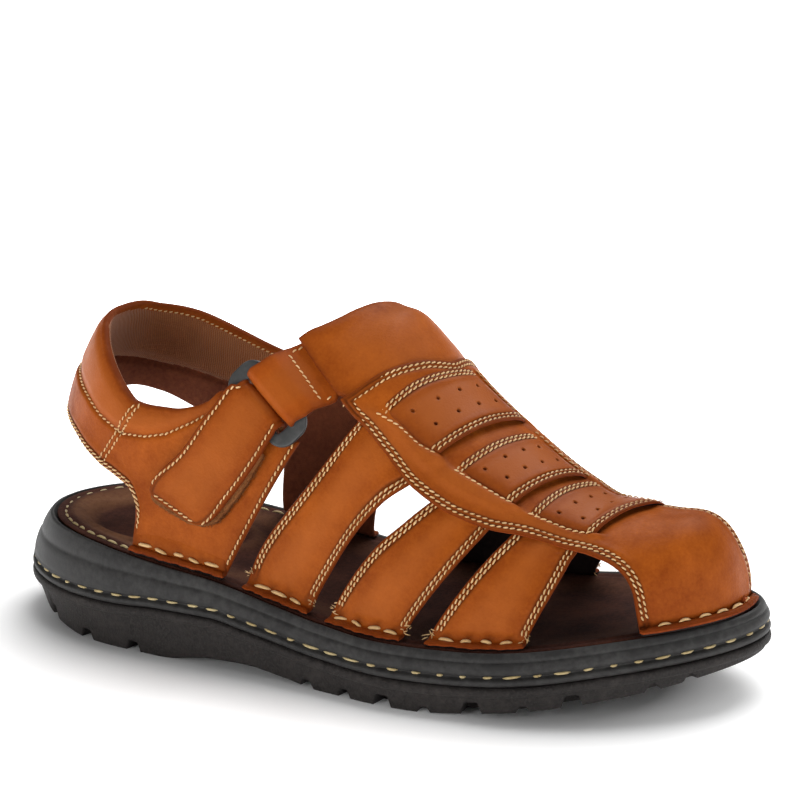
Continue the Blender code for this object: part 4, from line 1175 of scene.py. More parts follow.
turn = turns(420)
bed_in = rim_inset(turn) + TRAY_IN
foot_in = bed_in + BED_FOOT_IN
rows = [sole_ring(turn, foot_in, raised(raised(rim, -TRAY_DEEP), GAP), share) for share in (0.0, 0.5)]
rows.append(sole_ring(turn, foot_in, raised(raised(rim, -BORDER), -4.0)))
rows += [sole_ring(turn, bed_in + more, raised(rim, up)) for more, up in BED_BORDER]
for share in np.linspace(0.97, 0, 26):
    ring = sole_ring(turn, bed_in + TRAY_FLAT_IN, rim, share)
    ring[:, 2] = dish(np.clip(ring[:, 0], 0, LENGTH), np.interp(share, *BED_FALL))
    ring[:, 2] += footbed_relief(ring) * np.interp(share, (0.8, 1.0), (1.0, 0.3))
    rows.append(ring)
bed = np.stack(rows)
rubbed_and_highlight = np.zeros(bed.shape[:2])
rubbed_and_highlight[14:26] = np.array(BED_RUBBED)[:, None]
# Rubbed along the border near the heel, with a painted highlight on the ridge of the heel pad
rubbed_and_highlight = rubbed_and_highlight * (1 - 0.75 * ramp(bed[..., 0], 40.0, 130.0)) + 0.5 * bell(heel_oval(bed), 1.02, 0.09)
stack("footbed_dressed", rows, [FOOTBED], ("footbed",), {"rubbed_and_highlight": held(rubbed_and_highlight)})


def line_round(turn, distance, height):
    """A line set in from the outline by a distance, at a height over x."""
    return np.concatenate([inset(turn, distance + 0 * turn), height(outline(turn)[:, 0])[:, None]], 1)


turn = np.linspace(0.0, 2 * np.pi, 900)
out_way = inset(turn, 0 * turn) - inset(turn, 1.0 + 0 * turn)
out_way = unit(np.concatenate([out_way, 0.15 + 0 * turn[:, None]], 1))
line = line_round(turn, SIDE_GROOVE_IN, over_seat(SIDE_GROOVE_UP)), out_way
rods("sole_stitches", [stitches(line, SOLE_PITCH, SOLE_LONG, 0.95, 0.75, 0.30, 0.03, 3.0, 5, 0.3)],
     SOLE_THREAD)
turn = np.linspace(-1.2, 1.2, 500)
bed_line = line_round(turn, rim_inset(turn) + TRAY_IN + BED_GROOVE_IN, raised(rim, -BED_GROOVE_DEEP))
line = bed_line, np.zeros_like(bed_line) + UPWARDS
rods("footbed_stitches", [stitches(line, 6.2, 4.7, 1.15, 0.5, 0.05, 0.05, 1.0, 6, 0.2)],
     SOLE_THREAD)

# Straps

fine_seams, big_seams, tufts = [], [], []


def seam_relief(distance, rows=DOUBLE_ROW):
    """Leather beside an edge: a trough under each row of stitches and a slight ridge between and behind."""
    troughs = sum(bell(distance, row, 0.5) for row in rows)
    behind = bell(distance, rows[-1] + 1.7, 1.1) + bell(distance, (rows[0] + rows[-1]) / 2, 0.45)
    return -0.34 * troughs + 0.13 * behind, troughs


def puckers(run, distance):
    """Small gathers between stitches: a wave along the seam that fades across it."""
    return 0.07 * np.cos(2 * np.pi * run / STITCH_PITCH) * bell(distance, SEAM_SECOND + 1.0, 1.6)


def foot_tuft(points, n, seed):
    """Roots and ways of the loose thread ends at the corners of a strap's foot."""
    chance = np.random.default_rng(seed)
    pick = chance.integers(0, len(points), 9)
    ways = unit(n[pick] * 0.5 + chance.normal(0, 0.6, (9, 3)))
    return points[pick] + chance.normal(0, 0.5, (9, 3)), ways


def sew_sides(grid, rows, seed):
    """Two rows of stitches along both sides of a piece."""
    for far in (False, True):
        for k, distance in enumerate(DOUBLE_ROW):
            fine_seams.append(stitches(seam_line(grid, distance, rows, far), seed=seed + k + 2 * far))


def big_stitches(points, n, aside, seed, lift=0.8, sink=0.1, spare=1.2):
    """Long stitches along the foot of a piece, leaning aside and upwards."""
    up = unit(n + np.array((0.0, 0.5 * aside, 0.6)))
    big_seams.append(stitches((points, up), BIG_PITCH, BIG_LONG, BIG_WIDE, lift, sink, 0.0, spare, seed,
                              BIG_UNEVEN))


for number, (name, side, rear, front, rear_top, front_top, bow) in enumerate(STRAPS):
    c = crowded(61)[None, :]
    scallop = 1 + 0.16 * np.sin(c * 31.0 + number) * np.sin(c * 13.0 + 2.1 * number)
    wall = 1 - (1 - STRAP_UNDER[side]) * np.linspace(0, 1, STRAP_ROWS[side])[:, None] + 0 * c
    v = np.concatenate([foot_shares(scallop), wall])
    way = np.clip((1 - v) / (1 - STRAP_TOP), 0, 2)
    shown = np.minimum(way, 1)
    q = shown + STRAP_TURN * np.maximum(way - 1, 0)
    x = (rear + (rear_top - rear) * q) * (1 - c) + (front + (front_top - front) * q) * c
    x = x + 4 * bow * shown * (1 - shown)
    grid = eased(on_last(x, side * v), 4, 16, 7)
    n = normals(grid)
    width = np.linalg.norm(grid[:, -1] - grid[:, 0], axis=-1)[:, None]
    beside = np.minimum(c, 1 - c) * width
    foot = run_of(grid, 0)
    away = ramp(foot, 4.0, 9.0)
    relief, troughs = seam_relief(beside)
    tuck = sum(bell(foot, 4.6, 1.6) * bell(c * width - width / 2 - k * BIG_PITCH, 0.0, 1.6)
               for k in (-1.5, -0.5, 0.5, 1.5))
    h = (relief + 0.9 * ramp(beside, 2.0, 12.0) + puckers(foot, beside)) * away
    h = h + 0.22 * lumps(grid, 30.0, 11 + number) - 0.5 * tuck
    # Painted shade in the seams and thread tucks; painted sheen on the middle of the strap
    marks = {"seam_shade": 0.95 * troughs * away + 0.5 * tuck, "bulge": ramp(beside, 5.0, 12.0) * away * 0.5}
    outer = sheet(name, lifted(grid, n, h), lifted(grid, n, -(LEATHER + 0.25 * (1 - away))),
                  np.minimum(beside, foot), *UPPER_LEATHER, 0.95, marks)[1]
    sew_sides(outer, slice(11, None), 20 + number * 4)
    big_stitches(*seam_line(turned(outer), BIG_IN), side, 60 + number)
    for corner in (slice(0, 7), slice(-7, None)):
        spots, ups = (field[9:13, corner].reshape(-1, 3) for field in (outer, n))
        roots, ways = foot_tuft(spots, ups, 90 + number)
        tufts.append(hairs(roots, ways, 1.9, 0.4, 0.6, 95 + number))

# Spine and toe cap


def bowed(edge, share):
    """Place of a panel's edge along the sandal: a parabola over the share of the girth."""
    return edge[0] + edge[1] * share + edge[2] * share ** 2


def panel_place(x, share, panel):
    """Place on a vamp panel: t from its rear to its front edge, s from its lateral to its medial end."""
    name, rear, front, ends = panel
    rear_x, front_x = bowed(rear, share), bowed(front, share)
    t = (x - rear_x) / (front_x - rear_x)
    lateral = ends[0] + (ends[1] - ends[0]) * held(t)
    return t, 2 * (share - lateral) / (ends[2] - lateral) - 1


def spine_relief(x, share):
    """Rolled margins beside the panels, the seat of each panel, and the hollow in front of its free edge,
    with a painted shadow in that hollow.
    """
    h = 0 * x
    painted_shade = 0 * x
    for panel in PANELS:
        t, s = panel_place(x, share, panel)
        half = (panel[3][2] - panel[3][1]) / 2 * GIRTH_MM
        beyond = (np.abs(s) - 1) * half
        along = ramp(t, -0.45, 0.05) * (1 - ramp(t, 1.0, 1.28))
        roll = ramp(beyond, -0.6, 1.6) * (1 - ramp(beyond, 4.5, 10.5))
        inside = 1 - ramp(beyond, -1.2, 0.4)
        pucker = bell(beyond, 1.4, 1.7) * bell((t - 1.04) * 21.0, 0.0, 2.6)
        h = h + 1.25 * roll * along - 0.55 * inside * bell(t, 1.03, 0.12) + 0.8 * pucker * (s < 0)
        # Painted shadow under the free edge of each panel
        painted_shade = painted_shade + 0.8 * inside * bell(t, 1.0, 0.05)
    return h, held(painted_shade)


def towards_toe(x):
    """Share of the way into the toe cap, where the leather lies closer to the last."""
    return held((x - TOE_FROM) / TOE_REACH)


flange = np.linspace(0, 1, FLANGE_COLUMNS + 1)
across = np.concatenate([-1 - flange[:0:-1], 2 * crowded(150, 0.55) - 1, 1 + flange[1:]])
r, s = np.meshgrid(1 - (1 - crowded(216, 0.45)) ** 1.5, across, indexing="ij")
wall = held(np.abs(s))
start = SPINE_TOP - np.where(s < 0, SPINE_TOP_DROP[-1], SPINE_TOP_DROP[1]) * wall ** SPINE_TOP_BEND
x = start + (LENGTH - BASE_TOE - 0.02 - start) * r
reach = np.where(s < 0, curve(SPINE, 1, x), curve(SPINE, 2, x))
flat_foot = held((reach - 0.97) / 0.03)
past = held(np.abs(s) - 1) * flat_foot * FLANGE / 10
share = np.sign(s) * (wall * reach + past)
grid = on_last(x, share)
n = last_normal(x, share)
n[-1, np.abs(share[-1]) <= 1] = (1.0, 0.0, 0.0)
toe = towards_toe(x)
corner = held(1 - (x - 150.0) / 18.0) * held((-share - 0.3) / 0.2)
top_run, (lateral_run, medial_run) = edge_runs(grid)[0], edge_runs(grid)[2:]
lateral_foot, medial_foot = FLANGE_COLUMNS, -FLANGE_COLUMNS - 1
walls = slice(FLANGE_COLUMNS, -FLANGE_COLUMNS)


def free_edge(column, inwards):
    """A side edge of the spine where it stands free of the sole, and points some columns inside it."""
    free = reach[:, column] < 0.998
    return evenly(grid[free, column], grid[free, column + inwards])


free_edges = free_edge(lateral_foot, 42), evenly(grid[0, walls], grid[40, walls]), free_edge(medial_foot, -42)
all_edges = np.concatenate([edge for edge, inner in free_edges])
beside = nearest(grid.reshape(-1, 3), all_edges)[1].reshape(x.shape)
relief, troughs = seam_relief(beside)
rolls, panel_edge_shadow = spine_relief(x, share)
wall_foot = bell(np.minimum(lateral_run, medial_run), 4.4, 1.4) * flat_foot * (np.abs(s) > 0.55)
h = relief + rolls * ramp(beside, 4.0, 9.0) + 0.25 * lumps(grid, 42.0, 7) * ramp(beside, 2.0, 9.0)
h = h - 0.45 * wall_foot
outside = SPINE_RAISE - TOE_DROP * toe + 2.2 * corner + h
inside = np.minimum(-0.9 - 0.7 * toe + 1.5 * corner, outside - 1.5)
# Painted shade in seams, under the panels' edges and at the foot of the wall; painted sheen on the rolls
marks = {"seam_shade": held(0.95 * troughs + 0.8 * panel_edge_shadow + 0.35 * wall_foot), "bulge": held(rolls) * 0.5}
spine = sheet("spine_and_toe_cap", lifted(grid, n, outside), lifted(grid, n, inside),
              least(lateral_run, medial_run, top_run), *UPPER_LEATHER, 1.1,
              marks, True)[1]
bridge = np.linspace(-0.12, 1.12, 9)[:, None]


def across_tip(field):
    """Values of the last row near the lateral flange, led straight over the tip to the medial one."""
    share = bridge.reshape((-1, 1) + (1,) * (field.ndim - 2))
    return field[-1, :TIP_COLUMNS] * (1 - share) + field[-1, :-TIP_COLUMNS - 1:-1] * share


tip, tip_n = across_tip(grid), unit(across_tip(n))
tip_run = run_of(tip, 1)
tip_out = across_tip(outside) + 1.5 * bell(tip_run, FLANGE + 1.0, 2.2) + 0.06
sheet("toe_flange_tip", lifted(tip, tip_n, tip_out), lifted(tip, tip_n, across_tip(inside)), tip_run,
      *UPPER_LEATHER, 1.1)
for number, (edge, inner) in enumerate(free_edges):
    others = np.concatenate([free_edges[k][0] for k in range(3) if k != number])
    for k, distance in enumerate(DOUBLE_ROW):
        line = beside_edge(edge, inner, spine[:, walls], distance, others)
        fine_seams.append(stitches(line, seed=120 + 4 * number + k))
toe_lines = []
for columns, column in ((slice(0, 40), lateral_foot), (slice(-1, -41, -1), medial_foot)):
    spots, ups = seam_line(spine[reach[:, column] > 0.995][:, columns], BIG_IN - 0.9)
    toe_lines.append((spots[:-3], ups[:-3]))
toe_line = (np.concatenate([near, far[::-1]]) for near, far in zip(*toe_lines))
big_stitches(*toe_line, 0.0, 70, 0.7, -0.1, 0.6)

# Instep panel with the medial quarter

r = np.concatenate([np.linspace(-0.44, 1.0, 210), 1 + FLANGE / 10 * np.linspace(0, 1, 10)[1:]])[:, None]
c = crowded(64, 0.7)[None, :]
x = curve(INSTEP, 1, r) * (1 - c) + curve(INSTEP, 2, r) * c
slant = INSTEP_SLANT * (held((x - 128.0) / 20.0) - 0.5) * held((-r - 0.03) / 0.41)
grid = eased(on_last(x, r - slant), 204, 216, 6)
n = normals(grid)
lift = curve(INSTEP, 3, r) * np.clip(1 - (x - 148.0) / 12.0, 0.3, 1)
top_run, foot_run, rear_run, front_run = edge_runs(grid)
shown = ramp(r, 0.18, 0.3)
relief, troughs = seam_relief(np.minimum(rear_run, np.where(r > 0.25, front_run, 40.0)))
roll = 0.9 * bell(rear_run, 3.0, 3.2) * (1 - shown)
h = relief * shown * ramp(foot_run, 4.0, 9.0) + roll + 0.3 * lumps(grid, 34.0, 17)
border = least(rear_run, front_run, top_run, foot_run)
# Painted shade in the seams; painted sheen away from the edges
marks = {"seam_shade": 0.75 * troughs * shown, "bulge": 0.4 * ramp(border, 4.0, 14.0)}
instep = sheet("instep_and_medial_quarter", lifted(grid, n, lift + h), lifted(grid, n, lift - LEATHER),
               border, [TAN, SUEDE_LINING, RAW], "tan_leather", ("upper",), 0.95, marks)[1]
sew_sides(instep, slice(112, 202), 140)
big_stitches(*seam_line(turned(instep[::-1]), BIG_IN), 1, 75)

# Quarter and heel strap

number = np.arange(len(RIBS), dtype=float)
signed = np.where(RIBS[:, 0] > 0, 1.0, -1.0)
rib_table = np.column_stack([number, signed * (RIBS[:, 1] - BASE_HEEL), RIBS[:, 2],
                             signed * (RIBS[:, 3] - BASE_HEEL), RIBS[:, 4], RIBS[:, 5]])
at_sole = rib_table[:, 2] == 0
rib_table[at_sole, 2] = last_section(RIBS[at_sole, 1])[2] + 0.02
count = np.linspace(0, len(RIBS) - 1, 380)
h_share = crowded(72, 0.6)[None, :]
low_x, low_z, top_x, top_z, padding = (curve(rib_table, column, count)[:, None] for column in range(1, 6))
run = low_x * (1 - h_share) + top_x * h_share - QUARTER_FLARE * h_share * held(1 - count / 3)[:, None]
height = low_z * (1 - h_share) + top_z * h_share
back = BASE_HEEL + np.abs(run)
grid = np.where(run[..., None] > 0, on_wall(back, height, 1), on_wall(back, height, -1))
n = normals(grid)
front_run, end_run, low_run, high_run = edge_runs(grid)
pad = padding * np.sin(np.clip(h_share, 0.05, 0.95) * np.pi) ** 0.5
full = held(pad / 2)
over_seam = (height - np.interp(run, *COLLAR_SEAM.T)) * 0.92
on_collar = ramp(run, -92.0, -84.0)
collar_roll = ramp(over_seam, 0.2, 4.0) * (1 - ramp(-high_run, -4.5, 0.0))
heel_free = ramp(count, 6.2, 6.9)[:, None]
relief, troughs = seam_relief(low_run)
front_relief, front_troughs = seam_relief(front_run, (SEAM_FIRST,))
join_x = np.interp(height, HEEL_JOIN[::-1, 1], HEEL_JOIN[::-1, 0])
from_join = np.where(run < 0, back - join_x, 99.0) * JOIN_SLOPE
join_zone = 1 - ramp(over_seam, 8.0, 12.0)


def beside_join(wide):
    """Two bells, one on each row of stitches of the upright seam."""
    return bell(from_join, -JOIN_ASIDE, wide) + bell(from_join, JOIN_ASIDE, wide)


join = (0.45 * bell(from_join, 0.0, 2.6) - 0.3 * beside_join(0.4)) * join_zone
out = BAND_OUT + 0.35 * pad + relief * heel_free + front_relief * ramp(low_run, 3.0, 8.0) + join
out = out + on_collar * (0.9 * collar_roll * full - 0.6 * bell(over_seam, 0.0, 0.8))
out = out - 1.3 * (1 - ramp(np.abs(run), 18.0, 52.0)) * ramp(over_seam, -1.0, 1.5)
out = out + 0.25 * lumps(grid, 36.0, 23) * ramp(low_run, 2.0, 8.0)
over_fold = height - np.interp(run, *LINING_FOLD.T)
near = 1 - ramp(run, -12.0, 6.0)
inside = -BAND_IN - pad * (1 + 0.25 * ramp(over_fold, 0.0, 5.0)) + 1.6 * bell(over_fold, 0.0, 1.0) * full
inside = inside - 2.0 * near * bell(high_run, 2.2, 2.4) * full
# Painted shade in the seams; painted sheen on the collar roll
seam_shade = 0.95 * troughs * heel_free + 0.9 * front_troughs + 0.6 * (beside_join(0.45) * join_zone)
seam_shade = seam_shade + 0.7 * on_collar * bell(over_seam, 0.0, 0.7)
marks = {"seam_shade": held(seam_shade), "bulge": on_collar * collar_roll * 0.6}
lining = np.where(over_fold < 0, 2, np.where(high_run < BINDING * (1 - 0.85 * near), 0, 1))[:-1, :-1]
heel_inside = lifted(grid, n, inside)
piece, heel = sheet("quarter_and_heel_strap", lifted(grid, n, out), heel_inside,
                    least(low_run, high_run, front_run, end_run), [TAN, TEXTILE, SUEDE_LINING], "tan_leather",
                    ("upper",), 1.6, marks, False, lining, (2, 0, 2, 2))
heel_n = normals(heel)
bound = np.where(count > 14.3)[0]
column = in_from_edge(heel_inside[bound][:, ::-1], BINDING - 0.7)
bound_line = picked(heel_inside[bound][:, ::-1], column), -picked(n[bound][:, ::-1], column)
fine_seams.append(stitches(bound_line, 2.1, 1.6, 0.55, 0.25, 0.08, seed=166))
for k, distance in enumerate(DOUBLE_ROW):
    fine_seams.append(stitches(seam_line(heel[count > 6.5], distance), seed=160 + k))
fine_seams.append(stitches(seam_line(turned(heel), SEAM_FIRST, slice(6, None)), seed=164))
on_seam = (count > 4.2) & (count < 19.5)
column = crossing(over_seam[on_seam])
line = picked(heel[on_seam], column), picked(heel_n[on_seam], column)
fine_seams.append(stitches(line, STITCH_PITCH, 1.95, seed=165))
t = np.linspace(0.01, 0.99, 60)
join_at = [np.interp(t, np.linspace(0, 1, 3), HEEL_JOIN[:, k]) for k in (0, 1)]
for aside in (-JOIN_ASIDE, JOIN_ASIDE):
    flat = on_wall(join_at[0] + aside / JOIN_SLOPE, join_at[1], -1)
    place = nearest(flat, heel.reshape(-1, 3))[0]
    shell, shell_n = heel.reshape(-1, 3)[place], heel_n.reshape(-1, 3)[place]
    line = lifted(flat, shell_n, ((shell - flat) * shell_n).sum(-1)), shell_n
    fine_seams.append(stitches(line, seed=168))

foot_x = np.linspace(*QUARTER_FOOT, 70)[None, :]
scallop = 1 + 0.14 * np.sin(foot_x * 0.9) * np.sin(foot_x * 0.37)
v = np.concatenate([foot_shares(scallop), 1 - 0.10 * np.linspace(0, 1, 14)[:, None] + 0 * foot_x])
grid = eased(on_last(foot_x + 0 * v, -v), 4, 14, 6)
n = normals(grid)
foot_run, top_run = edge_runs(grid)[:2]
border = least(foot_run, foot_x - QUARTER_FOOT[0], QUARTER_FOOT[1] - foot_x, top_run)
sunk = BAND_OUT + 0.35 - 1.4 * ramp(foot_run, 6.0, 13.0)
# Painted shade along the stitched groove of the foot
quarter_foot = sheet("quarter_foot", lifted(grid, n, sunk), lifted(grid, n, -1.9), border,
                     *UPPER_LEATHER, 0.95,
                     {"seam_shade": 0.4 * bell(foot_run, 4.4, 1.2)})[1]
big_stitches(*seam_line(turned(quarter_foot), BIG_IN), -1, 77)

# Vamp panels

panel_seams = []
for number, (name, rear, front, ends) in enumerate(PANELS):
    s = (2 * crowded(180, 0.35) - 1)[None, :]
    t = (crowded(80, 0.35) * 1.07 - 0.06)[:, None]
    lateral = ends[0] * (1 - t) + ends[1] * t
    share = lateral + (ends[2] - lateral) * (s + 1) / 2
    x = bowed(rear, share) * (1 - t) + bowed(front, share) * t
    grid = on_last(x, share)
    n = normals(grid)
    base = SPINE_RAISE - TOE_DROP * towards_toe(x)
    rear_run, front_run, lateral_run, medial_run = edge_runs(grid)
    end_run = np.minimum(lateral_run, medial_run)
    open_edge = held(1 - s ** 2) ** 0.7
    top = 0.55 + 0.5 * ramp(t, 0.0, 0.35) + 1.15 * held(t) ** 1.6 * (0.25 + 0.75 * open_edge)
    top = top - 0.7 * bell(end_run, 0.0, 2.2)
    rear_relief, rear_troughs = seam_relief(rear_run, PANEL_REAR_ROWS)
    front_relief, front_troughs = seam_relief(front_run, PANEL_FRONT_ROWS)
    h = top + (rear_relief + front_relief) * ramp(end_run, 1.0, 2.5) + 0.10 * lumps(grid, 18.0, 33 + number)
    dents = 0 * x
    for t_hole, places in HOLES:
        for s_hole in places:
            row, column = np.abs(t[:, 0] - t_hole).argmin(), np.abs(s[0] - s_hole).argmin()
            away = np.linalg.norm(grid - grid[row, column], axis=-1)
            dents = np.maximum(dents, 1 - ramp(away, HOLE_RADIUS * 0.55, HOLE_RADIUS * 1.25))
    under = -0.35 + (0.35 + 0.9 * held(t) ** 3 * open_edge) * ramp(t, 0.75, 1.0)
    # Painted shade in the seams and pinholes; painted sheen on the middle of the panel
    seam_shade = 0.95 * (rear_troughs + front_troughs) * ramp(end_run, 0.5, 1.5) + 1.4 * dents
    bulge = 0.8 * ramp(np.minimum(rear_run, front_run), 4.0, 8.0) * ramp(end_run, 2.0, 9.0)
    outer = lifted(grid, n, base + h - 1.3 * dents)
    inner = lifted(grid, n, base + np.minimum(under, h - 1.45))
    piece, top_face = sheet(name + "_dressed", outer, inner, least(rear_run, front_run, end_run),
                            [PANEL, PAINTED_SHADE_INSIDE, RAW], "tan_panel_leather", (name,), 0.9,
                            {"seam_shade": held(seam_shade), "bulge": bulge})
    seed = 200 + number * 8
    for far, rows, ahead, drop in ((False, PANEL_REAR_ROWS, 2.2, 0.35), (True, PANEL_FRONT_ROWS, 1.2, 0.3)):
        for k, distance in enumerate(rows):
            line = lengthened(seam_line(turned(top_face), distance, slice(4, -4), far), ahead, drop)
            panel_seams.append(stitches(line, seed=seed + 4 * far + k))
    t = np.linspace(-0.11, 1.03, 70)
    for far, share in enumerate((ends[0] * (1 - t) + ends[1] * t - 0.008, ends[2] + 0 * t + 0.008)):
        x = bowed(rear, share) * (1 - t) + bowed(front, share) * t
        height = SPINE_RAISE - TOE_DROP * towards_toe(x) + spine_relief(x, share)[0] + 0.05
        n = last_normal(x, share)
        panel_seams.append(stitches((lifted(on_last(x, share), n, height), n), seed=seed + 6 + far))

# Fastening

patch_x = RING_X + np.array([[-6.0, 6.0], [-6.0, 6.0]])
patch_z = RING_Z + np.array([[-6.0, -6.0], [6.0, 6.0]])
ring_n = unit(normals(on_wall(patch_x, patch_z, -1)).mean(axis=(0, 1)))
long_way = np.array([RING_ALONG[0], 0.0, RING_ALONG[1]])
long_way = unit(long_way - ring_n * (long_way @ ring_n))
short_way = np.cross(long_way, ring_n)
short_way = short_way * np.sign(short_way[2])


def strip(table, way, share, straight_to, follows_by):
    """Points and normals of a strip on the lateral wall, straight across at the ring, then along the wall."""
    rear_x, rear_z, front_x, front_z = (curve(table, column, way) for column in (1, 2, 3, 4))
    wall = on_wall(rear_x * (1 - share) + front_x * share, rear_z * (1 - share) + front_z * share, -1)
    middle = on_wall((rear_x + front_x) / 2, (rear_z + front_z) / 2, -1)
    width = np.hypot(front_x - rear_x, front_z - rear_z)
    straight = middle + ((share - 0.5) * width)[..., None] * long_way
    follow = (ramp(way, straight_to, follows_by) + 0 * share)[..., None]
    grid = wall * follow + straight * (1 - follow)
    return grid, unit(normals(grid) * follow + ring_n * (1 - follow))


def round_corners(way, share, deep):
    """The way along a strip drawn back near its sides as a quarter circle, towards the free end only."""
    side = held((np.abs(2 * share - 1) - 0.72) / 0.28)
    return way - deep * (1 - np.sqrt(1 - side ** 2)) * ramp(way, 0.6, 1.0)


def folded(name, table, bounds, ahead, standing, legs, under, finishes, slot, node, round_end, sewn):
    """A strip of leather folded round a bar of the ring: its outer leg, the fold as half a turn, and a
    leg below. The free end has rounded corners."""
    share = crowded(49, 0.7)[None, :]
    way = round_corners(np.append(legs, 0.0)[:, None], share, round_end)
    grid, n = strip(table, way, share, *bounds)
    leg = standing(way + 0 * share)[:-1]
    width = np.linalg.norm(grid[:, -1] - grid[:, 0], axis=-1)[:, None]
    beside = np.minimum(share, 1 - share) * width
    from_edge = np.minimum(beside, run_of(grid, 0))
    relief, troughs = (sewn * part for part in seam_relief(from_edge, (TOUCH_SEAM,)))
    swell = relief + 0.45 * ramp(from_edge, 0.5, 8.0)
    hub = grid[-1] - ahead * FOLD_OUTER + ring_n * FOLD_MIDDLE
    angle = np.linspace(0, np.pi, 22)[:, None, None]
    sides = []
    for radius, over, face in ((FOLD_OUTER, LEATHER + 0.1, 1.0), (FOLD_INNER, 0.0, 0.0)):
        body = lifted(grid[:-1], n[:-1], leg + over + face * swell[:-1])
        round_bar = np.cos(angle) * ring_n + np.sin(angle) * ahead
        bend = hub + (radius + (face * swell[-1])[None, :, None]) * round_bar
        tail = hub - ahead * under * np.linspace(0.2, 1, 4)[:, None, None] - ring_n * radius
        sides.append(np.concatenate([body, bend, tail]))
    after = len(sides[0]) - len(grid) + 1
    border = np.concatenate([from_edge[:-1], np.repeat(beside[-1:], after, axis=0)])
    border[-1] = 0.0
    # Painted shade in the seams; painted sheen away from the edges
    painted_shade = np.concatenate([troughs[:-1], np.repeat(troughs[-1:], after, axis=0) * 0.4])
    marks = {"seam_shade": 0.7 * painted_shade, "bulge": 0.5 * ramp(border, 3.0, 9.0)}
    return sheet(name, sides[0], sides[1], border, finishes, slot, (node,), 0.95, marks)[1]


def level(way):
    """Height of the strap over the wall: level, a little uneven, and lower towards its free end."""
    uneven = 0.2 * np.sin(way * 7.0) * ramp(way, 0.2, 0.5)
    return FOLD_MIDDLE + FOLD_INNER - 0.5 * ramp(way, 0.25, 0.95) + uneven


def sinking(way):
    """Height of the tab over the wall, which falls as it runs under the instep panel."""
    return curve(TAB, 5, way)


touch_legs = np.linspace(1.0, 0.12, 92)
touch = folded("touch_strap_dressed", TOUCH, TOUCH_TURN, short_way, level, touch_legs, 0.4,
               [STRAP, FUZZ, RAW], "tan_strap_leather", "touch_strap", TOUCH_ROUND, 1.0)
tab = folded("ring_tab_dressed", TAB, TAB_TURN, -short_way, sinking, np.linspace(1.0, 0.3, 56), 6.0,
             [TAB_HIDE, PAINTED_SHADE_INSIDE, RAW], "tan_tab_leather", "ring_tab", 0.0, 0.0)
leg = len(touch_legs)
strap_lines = [seam_line(touch[:leg + 5], TOUCH_SEAM, slice(3, None), far) for far in (False, True)]
strap_lines.append(seam_line(turned(touch[:leg]), TOUCH_SEAM, slice(7, -7)))
strap_lines += [seam_line(tab, TAB_SEAM, np.arange(12, TAB_CROSS), far) for far in (False, True)]
cross_from, cross_to = (int(in_from_edge(side, TAB_SEAM)[TAB_CROSS]) for side in (tab, tab[:, ::-1]))
tab_across = slice(cross_from, tab.shape[1] - cross_to)
strap_lines.append((tab[TAB_CROSS, tab_across], normals(tab)[TAB_CROSS, tab_across]))
strap_seams = [stitches(line, seed=240 + k) for k, line in enumerate(strap_lines)]

pad_way = np.linspace(0.26, 1.0, 66)[:, None]
pad_share = np.linspace(0.0, 1.0, 34)[None, :] * (1 + 0.05 * ramp(pad_way, 0.24, 0.6))
way = round_corners(pad_way, held(pad_share), TOUCH_ROUND)
grid, n = strip(TOUCH, way, pad_share, *TOUCH_TURN)
onward = unit(grid[-1] - grid[-6]) * np.linspace(0, PAD_OUT, 5)[1:, None, None]
pad_top = level(way) - 0.1
grid = np.concatenate([grid, grid[-1] + onward])
n, pad_top = (np.concatenate([field, np.repeat(field[-1:], 4, axis=0)]) for field in (n, pad_top))
rough = 0.2 * (0.25 * lumps(grid, 3.0, 51))
sheet("touch_pad_dressed", lifted(grid, n, pad_top + rough), lifted(grid, n, BAND_OUT + 0.4 + rough),
      least(*edge_runs(grid)), [FUZZ, FUZZ, FUZZ], "touch_fabric", ("touch_pad",), 0.5)
chance = np.random.default_rng(61)
edge_points, edge_out = [], []
for line, within in ((grid[:, -1], grid[:, -2]), (grid[-1], grid[-2]), (grid[:, 0], grid[:, 1])):
    pick = chance.uniform(0, len(line) - 1.001, 500)
    low = pick.astype(int)
    f = (pick - low)[:, None]
    edge_points.append(line[low] * (1 - f) + line[low + 1] * f)
    edge_out.append(unit(line - within)[low])
edge_points, edge_out = np.concatenate(edge_points), np.concatenate(edge_out)
edge_n = unit(ring_n * 0.6 + np.array((0.0, -0.6, 0.0)))
edge_points = edge_points + edge_n * chance.uniform(0.8, 2.6, (len(edge_points), 1)) - edge_out * 0.3
ways = unit(edge_out + chance.normal(0, 0.5, edge_out.shape))
rods("touch_pad_fibres", [hairs(edge_points, ways, 0.8, 0.24, 0.5, 62)], FUZZ, 4)

centre = on_wall(np.array(RING_X), np.array(RING_Z), -1) + ring_n * FOLD_MIDDLE
half_long, half_short = RING_LONG / 2 - RING_BAR / 2, RING_SHORT / 2 - RING_BAR / 2
path = []
for k, (sx, sy) in enumerate(((1, 1), (-1, 1), (-1, -1), (1, -1))):
    angle = np.linspace(0, np.pi / 2, 17) + k * np.pi / 2
    spot = np.array((sx * (half_long - RING_CORNER), sy * (half_short - RING_CORNER)))
    path.append(spot + RING_CORNER * np.stack([np.cos(angle), np.sin(angle)], -1))
path = np.concatenate(path)
tangent = unit(np.roll(path, -1, axis=0) - np.roll(path, 1, axis=0))
outward = np.stack([tangent[:, 1], -tangent[:, 0]], -1)
round_bar = np.stack([np.cos(turns(28)), np.sin(turns(28))], -1)
bar = np.sign(round_bar) * np.abs(round_bar) ** 0.55 * np.array((RING_BAR, RING_THICK)) / 2
end_piece = ramp(np.abs(path[:, 0]), half_long - 6.0, half_long - 1.0)[:, None]
reach_in = np.where(bar[None, :, 0] < 0, 1 + RING_END * end_piece, 1.0)
flat = path[:, None, :] + outward[:, None, :] * (bar[None, :, 0] * reach_in)[..., None]
